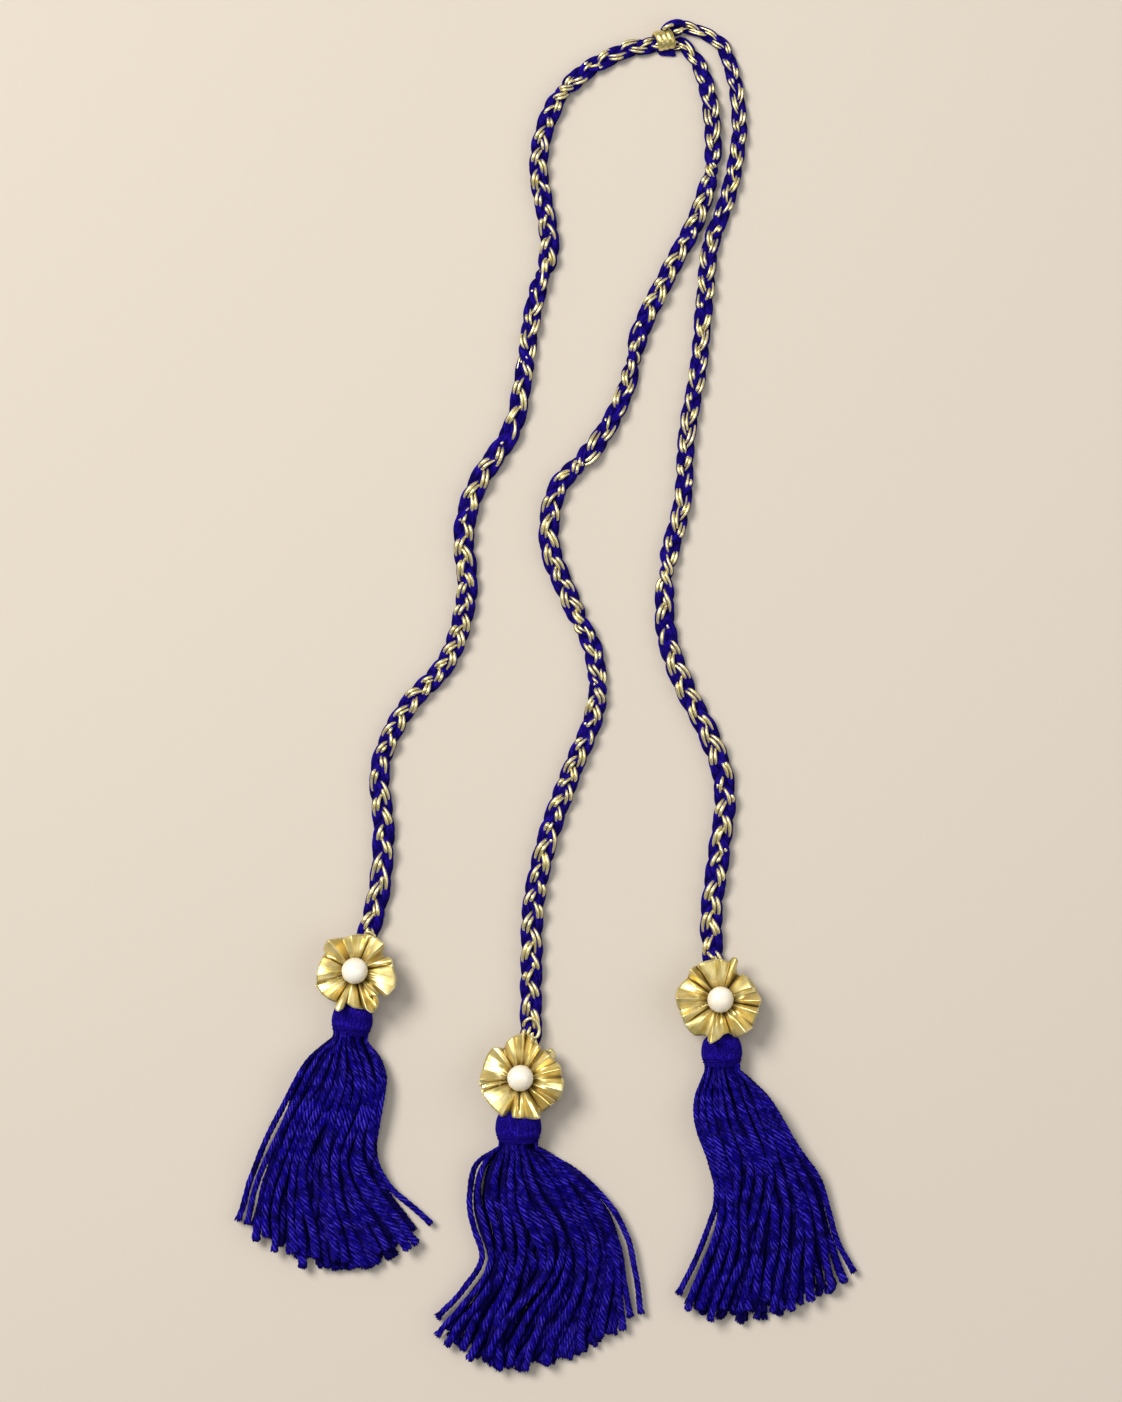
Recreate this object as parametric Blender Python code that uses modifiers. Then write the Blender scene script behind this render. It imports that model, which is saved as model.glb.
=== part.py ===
"""Triple tassel on plaited cords, lying flat on a table.

Three plaited cords run from a gold binding at the top (+Y) to three yarn
tassels at the bottom (-Y).  Above each tassel's head a gathered ribbon
rosette with a pearl is sewn on the cord.  Metres, +Z up, table at Z = 0.
Each tassel's strands share one curved grid of cells: a cell is a place
across the skirt and a layer, and a strand never leaves its cell, so the
strands stand apart all the way from the root to the cut end.
"""
from collections import namedtuple
from math import cos, pi, radians, sin, sqrt

import bmesh
import bpy
import numpy as np
from mathutils import Matrix, Vector

MM = 0.001
GAP = 0.35 * MM               # between pieces that touch on the real thing

# plaited cord
PLAIT_STRAND = 2.85 * MM      # one of the three strands, across
PLAIT_SWING = 1.25 * MM       # how far a strand swings to the side
PLAIT_RISE = 0.75 * MM        # how far it rises over and dips under
PLAIT_LOBE = 6.6 * MM         # from one lobe to the next on one side
CORD_SIDES = 8
CORD_STEPS = 2                # rings a lobe
CORD_Z = PLAIT_STRAND / 2 + PLAIT_RISE

# tassel
HEAD_FLATTEN = 0.90           # the ball is a little lower than wide
HEAD_FOLDS = 9                # yarn folds over the ball
FOLD_DEPTH = 0.035            # of the ball's radius
NECK_SHARE, WRAP_SHARE, COLLAR_SHARE = 0.62, 0.84, 0.82    # of the ball's radius
WRAP_TURNS = 3
WRAP_WIDTH = 2.4 * MM
COLLAR = 1.0 * MM             # yarn below the wrap, where the strands are still one
ROOT_DEPTH = 0.7 * MM         # how far a strand's root reaches into the collar
STRAND_SIZE = 3.0 * MM        # widest a strand is at its cut end
LAYERS = (                    # strands in a layer, share of the width it covers
    (13, 1.00), (12, 0.95), (11, 0.87))
STRAND_U = (0.0, 0.07, 0.20, 0.35, 0.50, 0.65, 0.82, 1.0)

# rosette and pearl
RIBBON = 1.0 * MM
PEARL = 8.0 * MM
DISH = 3.4 * MM               # from the middle up to the rim
ROSETTE_RINGS = (0.0, 0.18, 0.36, 0.62, 1.0)

# binding
BIND_LENGTH = 6.6 * MM
BIND_RADIUS = 3.15 * MM
BIND_GROOVE = 0.5 * MM
BIND_TURNS = 3

# left, middle and right cord, from the binding to the head: x, y in mm
Route = namedtuple("Route", "x y")
ROUTES = {
    "left": [Route(*row) for row in (
        (26.0, 195.9), (21.7, 194.4), (10.0, 187.7), (1.1, 176.1), (-2.4, 160.5),
        (0.3, 143.4), (0.7, 133.4), (-3.7, 118.8), (-6.5, 100.5), (-10.3, 81.6),
        (-20.8, 64.8), (-24.9, 49.5), (-23.8, 32.4), (-29.5, 12.3), (-42.1, -2.4),
        (-49.9, -19.8), (-49.0, -38.4), (-50.2, -56.6), (-54.1, -72.0),
        (-57.2, -82.0))],
    "middle": [Route(*row) for row in (
        (43.6, 194.0), (46.2, 190.0), (49.3, 178.5), (49.8, 162.0), (45.4, 145.5),
        (37.6, 130.2), (28.3, 111.0), (23.8, 93.2), (15.1, 77.1), (3.4, 63.6),
        (0.9, 47.1), (7.0, 30.3), (14.3, 13.5), (14.5, -3.6), (7.6, -21.3),
        (0.8, -40.2), (-3.7, -60.0), (-4.6, -81.0), (-5.0, -102.0),
        (-7.2, -112.5))],
    "right": [Route(*row) for row in (
        (44.9, 201.2), (52.5, 194.5), (56.9, 183.9), (57.8, 169.2),
        (54.8, 152.4), (49.3, 136.5), (47.5, 120.0), (45.6, 99.6), (42.1, 79.5),
        (40.9, 60.0), (36.3, 40.2), (35.8, 21.6), (40.9, 5.1), (49.0, -11.1),
        (53.6, -27.0), (51.9, -45.6), (49.5, -64.8), (50.6, -82.5), (51.8, -91.0))],
}

# where a cord leaves the binding: which face (-1 left, 1 right), how far to its
# side in mm, and how much the binding squeezes it
Start = namedtuple("Start", "end offset share")
STARTS = {
    "left": Start(-1, -0.5, 0.75),
    "middle": Start(1, -1.9, 0.60),
    "right": Start(1, 2.0, 0.60),
}

# neck: the skirt's root, where the wrap ends.  turn: the axis, from -Y
Tassel = namedtuple("Tassel", "neck_x neck_y turn radius crown")
TASSELS = {
    "left": Tassel(-58.8, -100.6, -7.0, 6.15, 8.6),
    "middle": Tassel(-8.5, -132.9, -1.0, 6.90, 9.2),
    "right": Tassel(52.6, -110.0, 1.0, 6.15, 8.6),
}

# a row for each section of a skirt: left edge, lowest point of the section's
# bow, right edge, and the skirt's thickness there; mm
Section = namedtuple("Section", "u left_x left_y mid_x mid_y right_x right_y thick")
SKIRTS = {
    "left": [Section(*row) for row in (
        (0.2, -73.1, -110.4, -58.9, -115.5, -48.4, -111.9, 8.4),
        (0.4, -78.3, -120.9, -62.8, -129.3, -50.1, -124.6, 7.6),
        (0.6, -83.8, -131.7, -65.4, -143.1, -50.3, -137.3, 7.2),
        (0.8, -88.3, -143.1, -64.0, -157.2, -43.9, -147.6, 6.9),
        (1.0, -93.3, -156.0, -60.4, -171.3, -34.2, -156.9, 6.6))],
    "middle": [Section(*row) for row in (
        (0.2, -20.8, -140.4, -2.5, -146.1, 7.6, -141.0, 9.0),
        (0.4, -23.1, -153.6, 4.6, -159.3, 17.3, -150.2, 8.0),
        (0.6, -20.6, -166.8, 7.0, -173.4, 23.8, -160.5, 7.6),
        (0.8, -26.8, -177.0, 1.6, -187.5, 27.3, -172.5, 7.2),
        (1.0, -33.6, -186.9, -7.0, -201.3, 29.0, -184.8, 6.9))],
    "right": [Section(*row) for row in (
        (0.2, 44.1, -124.2, 55.9, -125.1, 66.9, -121.3, 8.4),
        (0.4, 47.9, -138.0, 61.1, -139.5, 74.2, -133.8, 7.6),
        (0.6, 49.9, -152.0, 64.6, -154.2, 82.2, -145.8, 7.2),
        (0.8, 45.4, -165.8, 64.3, -169.2, 86.4, -159.6, 6.9),
        (1.0, 39.0, -178.8, 61.6, -186.9, 93.5, -172.5, 6.6))],
}

# rosette: middle, seat height and tilt (it leans on the head), and the turn of
# the ribbon's joined ends; mm and degrees
Rosette = namedtuple("Rosette", "x y seat tilt seam")
ROSETTES = {
    "left": Rosette(-57.2, -81.5, 5.8, 8.0, 205.0),
    "middle": Rosette(-7.8, -113.2, 5.8, 13.0, 189.0),
    "right": Rosette(51.9, -90.2, 5.5, 9.0, 201.0),
}
# a row for each pleat, anticlockwise from the joined ends: how many degrees it
# covers, its outer radius and its lift over the creases beside it; mm
Pleat = namedtuple("Pleat", "width radius lift")
PLEATS = {
    "left": [Pleat(*row) for row in (
        (37, 12.0, 1.6), (22, 12.9, 2.2), (28, 10.8, 0.9), (24, 13.0, 2.3),
        (20, 11.2, 1.0), (53, 12.4, 2.2), (22, 11.2, 0.9), (27, 11.8, 1.9),
        (40, 10.9, 1.5), (30, 11.9, 1.8), (22, 11.0, 0.9), (35, 11.4, 1.7))],
    "middle": [Pleat(*row) for row in (
        (36, 12.3, 1.7), (27, 12.7, 2.2), (16, 10.4, 0.8), (29, 12.5, 2.0),
        (21, 11.5, 1.1), (27, 12.8, 2.2), (33, 12.9, 1.6), (30, 12.9, 2.2),
        (14, 10.9, 0.8), (46, 13.1, 2.3), (20, 10.6, 0.9), (32, 12.4, 1.8),
        (29, 12.3, 1.5))],
    "right": [Pleat(*row) for row in (
        (31, 12.9, 1.8), (26, 13.1, 2.2), (17, 10.6, 0.8), (25, 12.4, 1.9),
        (25, 12.4, 1.5), (25, 11.9, 2.0), (28, 12.0, 1.2), (30, 11.3, 2.1),
        (14, 10.6, 0.8), (16, 13.4, 2.3), (44, 12.2, 1.7), (18, 12.6, 1.0),
        (30, 12.4, 2.1), (31, 13.1, 1.6))],
}
BINDING = (35.3, 198.2, 8.0)      # middle, and the axis' turn from +X
TUCKED = (36.0, 194.0, -8.0)      # the short end below it
TUCKED_LENGTH, TUCKED_WIDTH = 6.0, 2.3


def material(name, colour, roughness, metallic=0.0):
    """A Principled BSDF with one colour."""
    mat = bpy.data.materials.new(name)
    mat.use_nodes = True
    bsdf = mat.node_tree.nodes["Principled BSDF"]
    bsdf.inputs["Base Color"].default_value = (*colour, 1.0)
    bsdf.inputs["Roughness"].default_value = roughness
    bsdf.inputs["Metallic"].default_value = metallic
    mat.diffuse_color = (*colour, 1.0)
    return mat


def through(points, t):
    """Catmull-Rom curve through the points; t runs from 0 to len(points) - 1."""
    p = np.asarray(points, dtype=float)
    p = np.vstack([2 * p[0] - p[1], p, 2 * p[-1] - p[-2]])
    i = np.clip(np.floor(t).astype(int), 0, len(p) - 4)
    f = (t - i)[:, None]
    a, b, c, d = p[i], p[i + 1], p[i + 2], p[i + 3]
    return 0.5 * (2 * b + (c - a) * f + (2 * a - 5 * b + 4 * c - d) * f ** 2
                  + (3 * b - a - 3 * c + d) * f ** 3)


def even(points, step):
    """The same curve with points an even step apart, and each one's distance."""
    fine = through(points, np.linspace(0, len(points) - 1, 40 * len(points)))
    run = np.concatenate([[0], np.cumsum(np.linalg.norm(np.diff(fine, axis=0), axis=1))])
    at = np.linspace(0, run[-1], int(round(run[-1] / step)) + 1)
    return np.stack([np.interp(at, run, fine[:, k]) for k in range(fine.shape[1])], 1), at


def smooth(x):
    """0 below 0, 1 above 1, a soft step between."""
    x = np.clip(x, 0.0, 1.0)
    return x * x * (3 - 2 * x)


def loft(name, rings, mat, collection, slant=None):
    """One closed body through rings of points, each end filled flat.

    slant(i, j), where given, splits the face after ring i and point j in two:
    True from its near first point, False from its near second point.
    """
    verts, faces = [], []
    n = len(rings[0])
    for ring in rings:
        verts.extend(tuple(float(c) for c in p) for p in ring)
    for i in range(len(rings) - 1):
        for j in range(n):
            a, b = i * n + j, i * n + (j + 1) % n
            if slant is None:
                faces.append((a, b, b + n, a + n))
            elif slant(i, j):
                faces += [(a, b, b + n), (a, b + n, a + n)]
            else:
                faces += [(a, b, a + n), (b, b + n, a + n)]
    faces.append(tuple(range(n))[::-1])
    faces.append(tuple(range((len(rings) - 1) * n, len(rings) * n)))
    return from_faces(name, verts, faces, mat, collection)


def from_faces(name, verts, faces, mat, collection):
    """A mesh object from points and faces, its faces turned outwards."""
    mesh = bpy.data.meshes.new(name)
    mesh.from_pydata(verts, [], faces)
    bm = bmesh.new()
    bm.from_mesh(mesh)
    bmesh.ops.recalc_face_normals(bm, faces=bm.faces)
    bm.to_mesh(mesh)
    bm.free()
    mesh.materials.append(mat)
    obj = bpy.data.objects.new(name, mesh)
    collection.objects.link(obj)
    return obj


def plait_section(lobes, taper):
    """Outline of the three strands, so many lobes along the plait.

    A strand takes three lobes to swing out and back.  It swings sideways as
    sin(phase) and over and under as sin(2 phase).  The outline is the farthest
    strand surface in each direction from the middle, so the lobes stand out on
    both sides.
    """
    phases = [2 * pi * (lobes + k + 0.25) / 3 for k in range(3)]
    centres = [(PLAIT_SWING * sin(p), PLAIT_RISE * sin(2 * p)) for p in phases]
    r = PLAIT_STRAND / 2
    points = []
    for j in range(CORD_SIDES):
        a = -pi / 2 + 2 * pi * (j + 0.5) / CORD_SIDES
        dx, dz = cos(a), sin(a)
        reach = 0.0
        for cx, cz in centres:
            along, off = cx * dx + cz * dz, cx * dz - cz * dx
            if abs(off) < r:
                reach = max(reach, along + sqrt(r * r - off * off))
        points.append((taper * reach * dx, taper * reach * dz))
    return points


def plait_slant(i, j):
    """Folds run outwards on both sides and zigzag along the two middle lines."""
    a = -pi / 2 + 2 * pi * (j + 1) / CORD_SIDES    # middle of the face
    if abs(cos(a)) < 0.01:
        return (i % 2 == 1) == (sin(a) > 0)
    return cos(a) < 0


def binding_frame():
    """Middle of the binding, its axis and its side vector."""
    x, y, turn = BINDING
    axis = Vector((cos(radians(turn)), sin(radians(turn)), 0))
    return Vector((x * MM, y * MM, 0)), axis, Vector((-axis.y, axis.x, 0))


def cord(name, route, start, tassel, mat, collection):
    """The plait along its route, flat on the table, up into the tassel's head."""
    neck, axis, _ = head_frame(tassel)
    top = neck + axis * (head_profile(tassel.radius * MM)[0][0] - 1.6 * GAP)
    middle, along, across = binding_frame()
    face = along * (start.end * (BIND_LENGTH / 2 + 1.6 * GAP))
    gate = middle + face + across * (start.offset * MM)
    lead = gate + along * (start.end * 1.3 * MM)
    path = [tuple(gate.xy), tuple(lead.xy)]
    path += [(p.x * MM, p.y * MM) for p in route]
    path += [(top.x - axis.x * 3 * MM, top.y - axis.y * 3 * MM), (top.x, top.y)]
    centre, run = even(path, PLAIT_LOBE / CORD_STEPS)
    length = run[-1]
    rise_to = 0.85 * head_height(tassel)
    rings = []
    for i, (p, s) in enumerate(zip(centre, run)):
        q = centre[min(i + 1, len(centre) - 1)] - centre[max(i - 1, 0)]
        q /= np.linalg.norm(q)
        side = (q[1], -q[0])
        free = smooth((s - 1 * MM) / (6 * MM))
        end = smooth((length - s) / (7 * MM))
        taper = (start.share + (1 - start.share) * free) * (0.84 + 0.16 * end)
        lift = (rise_to - CORD_Z) * smooth(1 - (length - s) / (15 * MM))
        ring = []
        for x, z in plait_section(i / CORD_STEPS, taper):
            height = max(CORD_Z * taper + z, 0.0) + lift
            ring.append((p[0] + side[0] * x, p[1] + side[1] * x, height))
        rings.append(ring)
    return loft(name, rings, mat, collection, plait_slant)


def head_height(tassel):
    """Height of a head's axis above the table."""
    return 0.80 * tassel.radius * MM


def head_frame(tassel):
    """Neck, axis towards the skirt, and the side vector, all in the table's plane."""
    turn = radians(tassel.turn)
    axis = Vector((sin(turn), -cos(turn), 0))
    side = Vector((cos(turn), sin(turn), 0))
    neck = Vector((tassel.neck_x * MM, tassel.neck_y * MM, head_height(tassel)))
    return neck, axis, side


def head_profile(r):
    """Distance along the axis from the skirt's root, radius, folds (0 or 1)."""
    wrap0, wrap1 = -(WRAP_WIDTH + 2 * GAP), 0.0
    neck = NECK_SHARE * r
    return (
        (wrap0 - 1.10 * r, 0.46 * r, 0), (wrap0 - 1.00 * r, 0.72 * r, 1),
        (wrap0 - 0.76 * r, 0.93 * r, 1), (wrap0 - 0.42 * r, 1.00 * r, 1),
        (wrap0 - 0.14 * r, 0.96 * r, 1), (wrap0, 0.86 * r, 0),
        (wrap0 + 0.05 * MM, neck, 0), (wrap1 - 0.05 * MM, neck, 0),
        (wrap1, COLLAR_SHARE * r, 0), (wrap1 + COLLAR, COLLAR_SHARE * r, 0))


def head(name, tassel, mat, collection):
    """Ball with yarn folds, neck and the collar that holds the roots."""
    neck, axis, side = head_frame(tassel)
    sides = 2 * HEAD_FOLDS
    rings = []
    for along, radius, folds in head_profile(tassel.radius * MM):
        ring = []
        for j in range(sides):
            a = 2 * pi * j / sides + pi / sides
            r = radius * (1 - FOLD_DEPTH * folds * (j % 2))
            p = neck + axis * along + side * (r * cos(a))
            p.z = max(neck.z + HEAD_FLATTEN * r * sin(a), 0.0)
            ring.append(p)
        rings.append(ring)
    return loft(name, rings, mat, collection)


def skirt_point(tassel, sections, u, x):
    """Place in the table's plane at share u down the skirt and x across (-1 to 1)."""
    neck, axis, side = head_frame(tassel)
    half = side * (0.76 * tassel.radius * MM)
    root = neck + axis * COLLAR
    rows = [[*(root - half).xy, *root.xy, *(root + half).xy]]
    rows += [[c * MM for c in row[1:7]] for row in sections]
    lx, ly, mx, my, rx, ry = through(rows, np.array([u * (len(rows) - 1)]))[0]
    left, mid, right = Vector((lx, ly)), Vector((mx, my)), Vector((rx, ry))
    return mid + (right - left) * (x / 2) + ((left + right) / 2 - mid) * (x * x)


def skirt_levels(tassel, sections, u, x):
    """Underside and top of the skirt: a disc at the neck, flat on the table below."""
    zc, r = head_height(tassel), 0.76 * tassel.radius * MM
    disc = HEAD_FLATTEN * r * sqrt(max(1 - (0.88 * x) ** 2, 0))
    thick = np.interp(u, [0.0] + [s.u for s in sections],
                      [tassel.crown] + [s.thick for s in sections]) * MM
    fall = float(smooth(u / 0.22))
    top = (1 - fall) * (zc + disc) + fall * thick * (1 - 0.18 * x * x)
    under = (1 - smooth(u / 0.10)) * (zc - disc)
    return float(under), float(top)


def strands(name, tassel, sections, seed, mat, collection):
    """All cut strands of one skirt, four-sided, each inside its own cell."""
    rng = np.random.default_rng(seed)
    _, axis, _ = head_frame(tassel)
    verts, faces = [], []
    for layer, (count, cover) in enumerate(LAYERS):
        for i in range(count):
            centre = cover * (2 * (i + 0.5) / count - 1)
            shift, stop = rng.uniform(-1, 1), 1.01 - 0.05 * rng.random() - 0.012 * layer
            sway = rng.uniform(-1, 1)
            if layer == 0 and i in (0, 1, count - 2, count - 1):    # strays
                shift = -1 if i in (0, count - 2) else 1
            base = len(verts)
            for share in (-1.0,) + STRAND_U:
                u = max(share, 0.0) * stop
                span = (skirt_point(tassel, sections, u, cover)
                        - skirt_point(tassel, sections, u, -cover)).length
                cell = span / count
                width = min(cell - GAP, STRAND_SIZE + (1 - u) * 1.2 * MM)
                slack = (cell - GAP - width) / 2
                shift_u = slack * (shift * u + 0.5 * sway * sin(2.5 * pi * u) * u)
                x = centre + shift_u * 2 * cover / span
                half = width / span * cover
                for dx, dz in ((-1, 0), (1, 0), (1, 1), (-1, 1)):
                    xe = x + dx * half
                    p = skirt_point(tassel, sections, u, xe)
                    under, top = skirt_levels(tassel, sections, u, xe)
                    cell_z = (top - under) / len(LAYERS)
                    low = under + layer * cell_z + (GAP / 2 if layer or u < 0.1 else 0)
                    high = under + (layer + 1) * cell_z - GAP / 2
                    z = high if dz else low
                    if share < 0:
                        p = p - axis.xy * ROOT_DEPTH
                    verts.append((p.x, p.y, z))
            rings = len(STRAND_U) + 1
            for k in range(rings - 1):
                for j in range(4):
                    a, b = base + 4 * k + j, base + 4 * k + (j + 1) % 4
                    faces.append((a, b, b + 4, a + 4))
            faces.append(tuple(base + j for j in (3, 2, 1, 0)))
            last = base + 4 * (rings - 1)
            faces.append(tuple(last + j for j in (0, 1, 2, 3)))
    return from_faces(name, verts, faces, mat, collection)


def neck_wrap(name, tassel, mat, collection):
    """Three turns of yarn round the neck: a ridged ring turned about the axis."""
    r = tassel.radius * MM
    inner, outer = NECK_SHARE * r + GAP, WRAP_SHARE * r
    y0, y1 = -(WRAP_WIDTH + GAP), -GAP
    profile = [(inner, y0)]
    for t in range(2 * WRAP_TURNS + 1):
        ridge = 0.0 if t % 2 else -0.32 * MM
        lean = 1 - 0.05 * t / (2 * WRAP_TURNS)
        profile.append((outer * lean + ridge, y0 + (y1 - y0) * t / (2 * WRAP_TURNS)))
    profile.append((inner, y1))
    mesh = bpy.data.meshes.new(name)
    verts = [(x, 0, -y) for x, y in profile]
    edges = [(k, (k + 1) % len(verts)) for k in range(len(verts))]
    mesh.from_pydata(verts, edges, [])
    mesh.materials.append(mat)
    obj = bpy.data.objects.new(name, mesh)
    collection.objects.link(obj)
    screw = obj.modifiers.new("turn", "SCREW")
    screw.axis, screw.angle = "Z", 2 * pi
    screw.steps = screw.render_steps = 14
    screw.use_merge_vertices, screw.merge_threshold = True, 0.00005
    screw.use_normal_calculate = True
    neck, axis, side = head_frame(tassel)
    up = Vector((0, 0, 1))
    turn = Matrix((side, up, -axis)).transposed().to_4x4()
    flat = Matrix.Diagonal((1, HEAD_FLATTEN, 1, 1))
    obj.matrix_world = Matrix.Translation(neck) @ turn @ flat
    return obj


def rosette(name, ros, pleats, mat, collection):
    """Ribbon gathered into uneven pleats: a ruffled dish, thickened to a sheet.

    Each pleat has three points round the rim: its crease, its crest and its
    far shoulder.  The creases run in towards the middle and down.
    """
    rim, turn = [], ros.seam
    for pleat, after in zip(pleats, pleats[1:] + pleats[:1]):
        crease = min(pleat.radius, after.radius) * 0.95
        for share, radius, lift in ((0.0, crease, 0.0), (0.30, pleat.radius, pleat.lift),
                                    (0.72, pleat.radius, 0.75 * pleat.lift)):
            rim.append((radians(turn + share * pleat.width), radius * MM, lift * MM))
        turn += pleat.width
    n = len(rim)
    verts = [(0.0, 0.0, 0.0)]
    for share in ROSETTE_RINGS[1:]:
        dish = DISH * float(smooth(share / 0.62)) - 0.4 * MM * share
        for angle, radius, lift in rim:
            r = radius * share
            verts.append((r * cos(angle), r * sin(angle), dish + lift * share ** 1.3))
    faces = [(0, 1 + j, 1 + (j + 1) % n) for j in range(n)]
    for i in range(len(ROSETTE_RINGS) - 2):
        for j in range(n):
            a, b = 1 + i * n + j, 1 + i * n + (j + 1) % n
            faces.append((a, a + n, b + n, b))
    obj = from_faces(name, verts, faces, mat, collection)
    solid = obj.modifiers.new("ribbon", "SOLIDIFY")
    solid.thickness, solid.offset = RIBBON, 0.0
    return obj


def pearl(name, mat, collection):
    """A round bead."""
    mesh = bpy.data.meshes.new(name)
    bm = bmesh.new()
    bmesh.ops.create_uvsphere(bm, u_segments=12, v_segments=8, radius=PEARL / 2)
    bm.to_mesh(mesh)
    bm.free()
    mesh.materials.append(mat)
    mesh.shade_smooth()
    obj = bpy.data.objects.new(name, mesh)
    collection.objects.link(obj)
    return obj


def binding(name, mat, collection):
    """Three turns of gold cord: a ridged barrel with a flat foot."""
    middle, axis, side = binding_frame()
    middle.z = 0.93 * BIND_RADIUS
    rings = []
    stations = 2 * BIND_TURNS
    for t in range(stations + 1):
        f = t / stations
        r = BIND_RADIUS - (0 if t % 2 else BIND_GROOVE)
        ring = []
        for j in range(14):
            a = 2 * pi * (j + 0.5) / 14
            p = middle + axis * ((f - 0.5) * BIND_LENGTH) + side * (r * cos(a))
            p.z = 0.0 if sin(a) < -0.85 else middle.z + r * sin(a)
            ring.append(p)
        rings.append(ring)
    return loft(name, rings, mat, collection)


def tucked_end(name, mat, collection):
    """The short rounded end of yarn below the binding."""
    x, y, turn = TUCKED
    axis = Vector((cos(radians(turn)), sin(radians(turn)), 0))
    side = Vector((-axis.y, axis.x, 0))
    rings = []
    for f in (0.0, 0.12, 0.35, 0.65, 0.88, 1.0):
        w = TUCKED_WIDTH / 2 * MM * sqrt(max(1 - (2 * f - 1) ** 2, 0.12))
        centre = Vector((x * MM, y * MM, 0)) + axis * ((f - 0.5) * TUCKED_LENGTH * MM)
        ring = []
        for j in range(8):
            a = 2 * pi * (j + 0.5) / 8
            p = centre + side * (w * cos(a))
            p.z = 0.9 * w * (1 + sin(a))
            ring.append(p)
        rings.append(ring)
    return loft(name, rings, mat, collection)


def main():
    for obj in list(bpy.data.objects):
        bpy.data.objects.remove(obj, do_unlink=True)
    scene = bpy.context.scene
    scene.unit_settings.system = "METRIC"
    parts = bpy.data.collections.new("triple_tassel")
    roots = bpy.data.collections.new("strand_bundles")
    scene.collection.children.link(parts)
    scene.collection.children.link(roots)

    yarn = material("blue yarn", (0.008, 0.004, 0.14), 0.85)
    gold = material("gold cord", (0.55, 0.42, 0.17), 0.35, 0.8)
    ribbon = material("gold ribbon", (0.62, 0.46, 0.18), 0.30, 0.8)
    nacre = material("pearl", (0.86, 0.78, 0.68), 0.18)

    binding("binding", gold, parts)
    tucked_end("tucked_end", yarn, parts)
    for seed, side in enumerate(("left", "middle", "right")):
        tassel = TASSELS[side]
        cord("cord_" + side, ROUTES[side], STARTS[side], tassel, yarn, parts)

        body = head("tassel_" + side, tassel, yarn, parts)
        bundle = strands("strands_" + side, tassel, SKIRTS[side], 11 + seed, yarn, roots)
        bundle.hide_render = True
        bundle.display_type = "WIRE"
        join = body.modifiers.new("roots", "BOOLEAN")
        join.operation, join.solver, join.object = "UNION", "EXACT", bundle

        neck_wrap("neck_wrap_" + side, tassel, yarn, parts)

        ros = ROSETTES[side]
        flower = rosette("rosette_" + side, ros, PLEATS[side], ribbon, parts)
        lean = Matrix.Rotation(radians(ros.tilt), 4, Vector((-1, 0, 0)))
        flower.matrix_world = Matrix.Translation(
            (ros.x * MM, ros.y * MM, ros.seat * MM)) @ lean
        bead = pearl("pearl_" + side, nacre, parts)
        rest = PEARL / 2 + RIBBON / 2 + 0.85 * MM
        bead.matrix_world = flower.matrix_world @ Matrix.Translation((0, 0, rest))


main()
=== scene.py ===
"""Looks for the triple tassel on plaited cords.

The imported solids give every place; the pieces here are the plaits, the yarn
skirts, the heads, the gathered ribbon rosettes, the pearls and the binding as
they look close up.  Metres, +Z up, table at Z = 0.
"""
from collections import namedtuple
from math import cos, pi, radians, sin

import bpy
import numpy as np
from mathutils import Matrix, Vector


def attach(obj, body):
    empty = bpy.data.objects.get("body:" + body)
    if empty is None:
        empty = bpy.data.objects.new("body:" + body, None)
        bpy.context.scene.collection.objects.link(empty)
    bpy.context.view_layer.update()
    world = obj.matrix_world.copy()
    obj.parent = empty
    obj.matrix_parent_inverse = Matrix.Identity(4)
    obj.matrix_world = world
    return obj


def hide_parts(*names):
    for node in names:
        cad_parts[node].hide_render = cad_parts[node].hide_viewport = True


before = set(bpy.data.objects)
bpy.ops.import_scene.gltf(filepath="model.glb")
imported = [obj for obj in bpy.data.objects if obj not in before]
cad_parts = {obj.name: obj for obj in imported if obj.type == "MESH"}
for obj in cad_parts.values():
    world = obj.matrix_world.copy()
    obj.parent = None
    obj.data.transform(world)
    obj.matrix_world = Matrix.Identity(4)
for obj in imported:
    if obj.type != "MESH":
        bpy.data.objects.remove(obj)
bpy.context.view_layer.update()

MM = 0.001
UP = np.array([0.0, 0.0, 1.0])
SIDES = ("left", "middle", "right")

# plaited cord
PLAIT_SWING = 1.62 * MM       # how far a strand swings to the side
PLAIT_RISE = 0.98 * MM        # how far it rises over and dips under
PLAIT_HASTE = 0.20            # how much quicker it crosses than it lies along the edge
PLAIT_STEP = 0.55 * MM        # from one ring of points to the next
PLAIT_CLIMB = 15 * MM         # the last stretch, which rises into the head
INTO_BINDING, INTO_HEAD = 2.4 * MM, 2.2 * MM    # how far a cord goes on inside them
BUNDLE_WIDE, BUNDLE_HIGH = 1.34 * MM, 1.16 * MM    # half of a strand's section
BUNDLE_TURN = 30 * MM         # one turn of the yarns in a strand
CORD_Z = BUNDLE_HIGH + PLAIT_RISE
GOLD_THREAD = 0.52 * MM       # radius of a gold cord in the plait
GOLD_PLACES = (-0.40, 0.40)   # where the gold cords lie round a strand, in radians
GOLD_MIDDLE, GOLD_SHOWS = 0.72, 0.62    # the phase where gold lies out, and half its width
BOW_YARN = 0.88 * MM          # radius of the yarn that bows up over the binding
GAP = 0.35 * MM               # between one piece and the next

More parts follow.
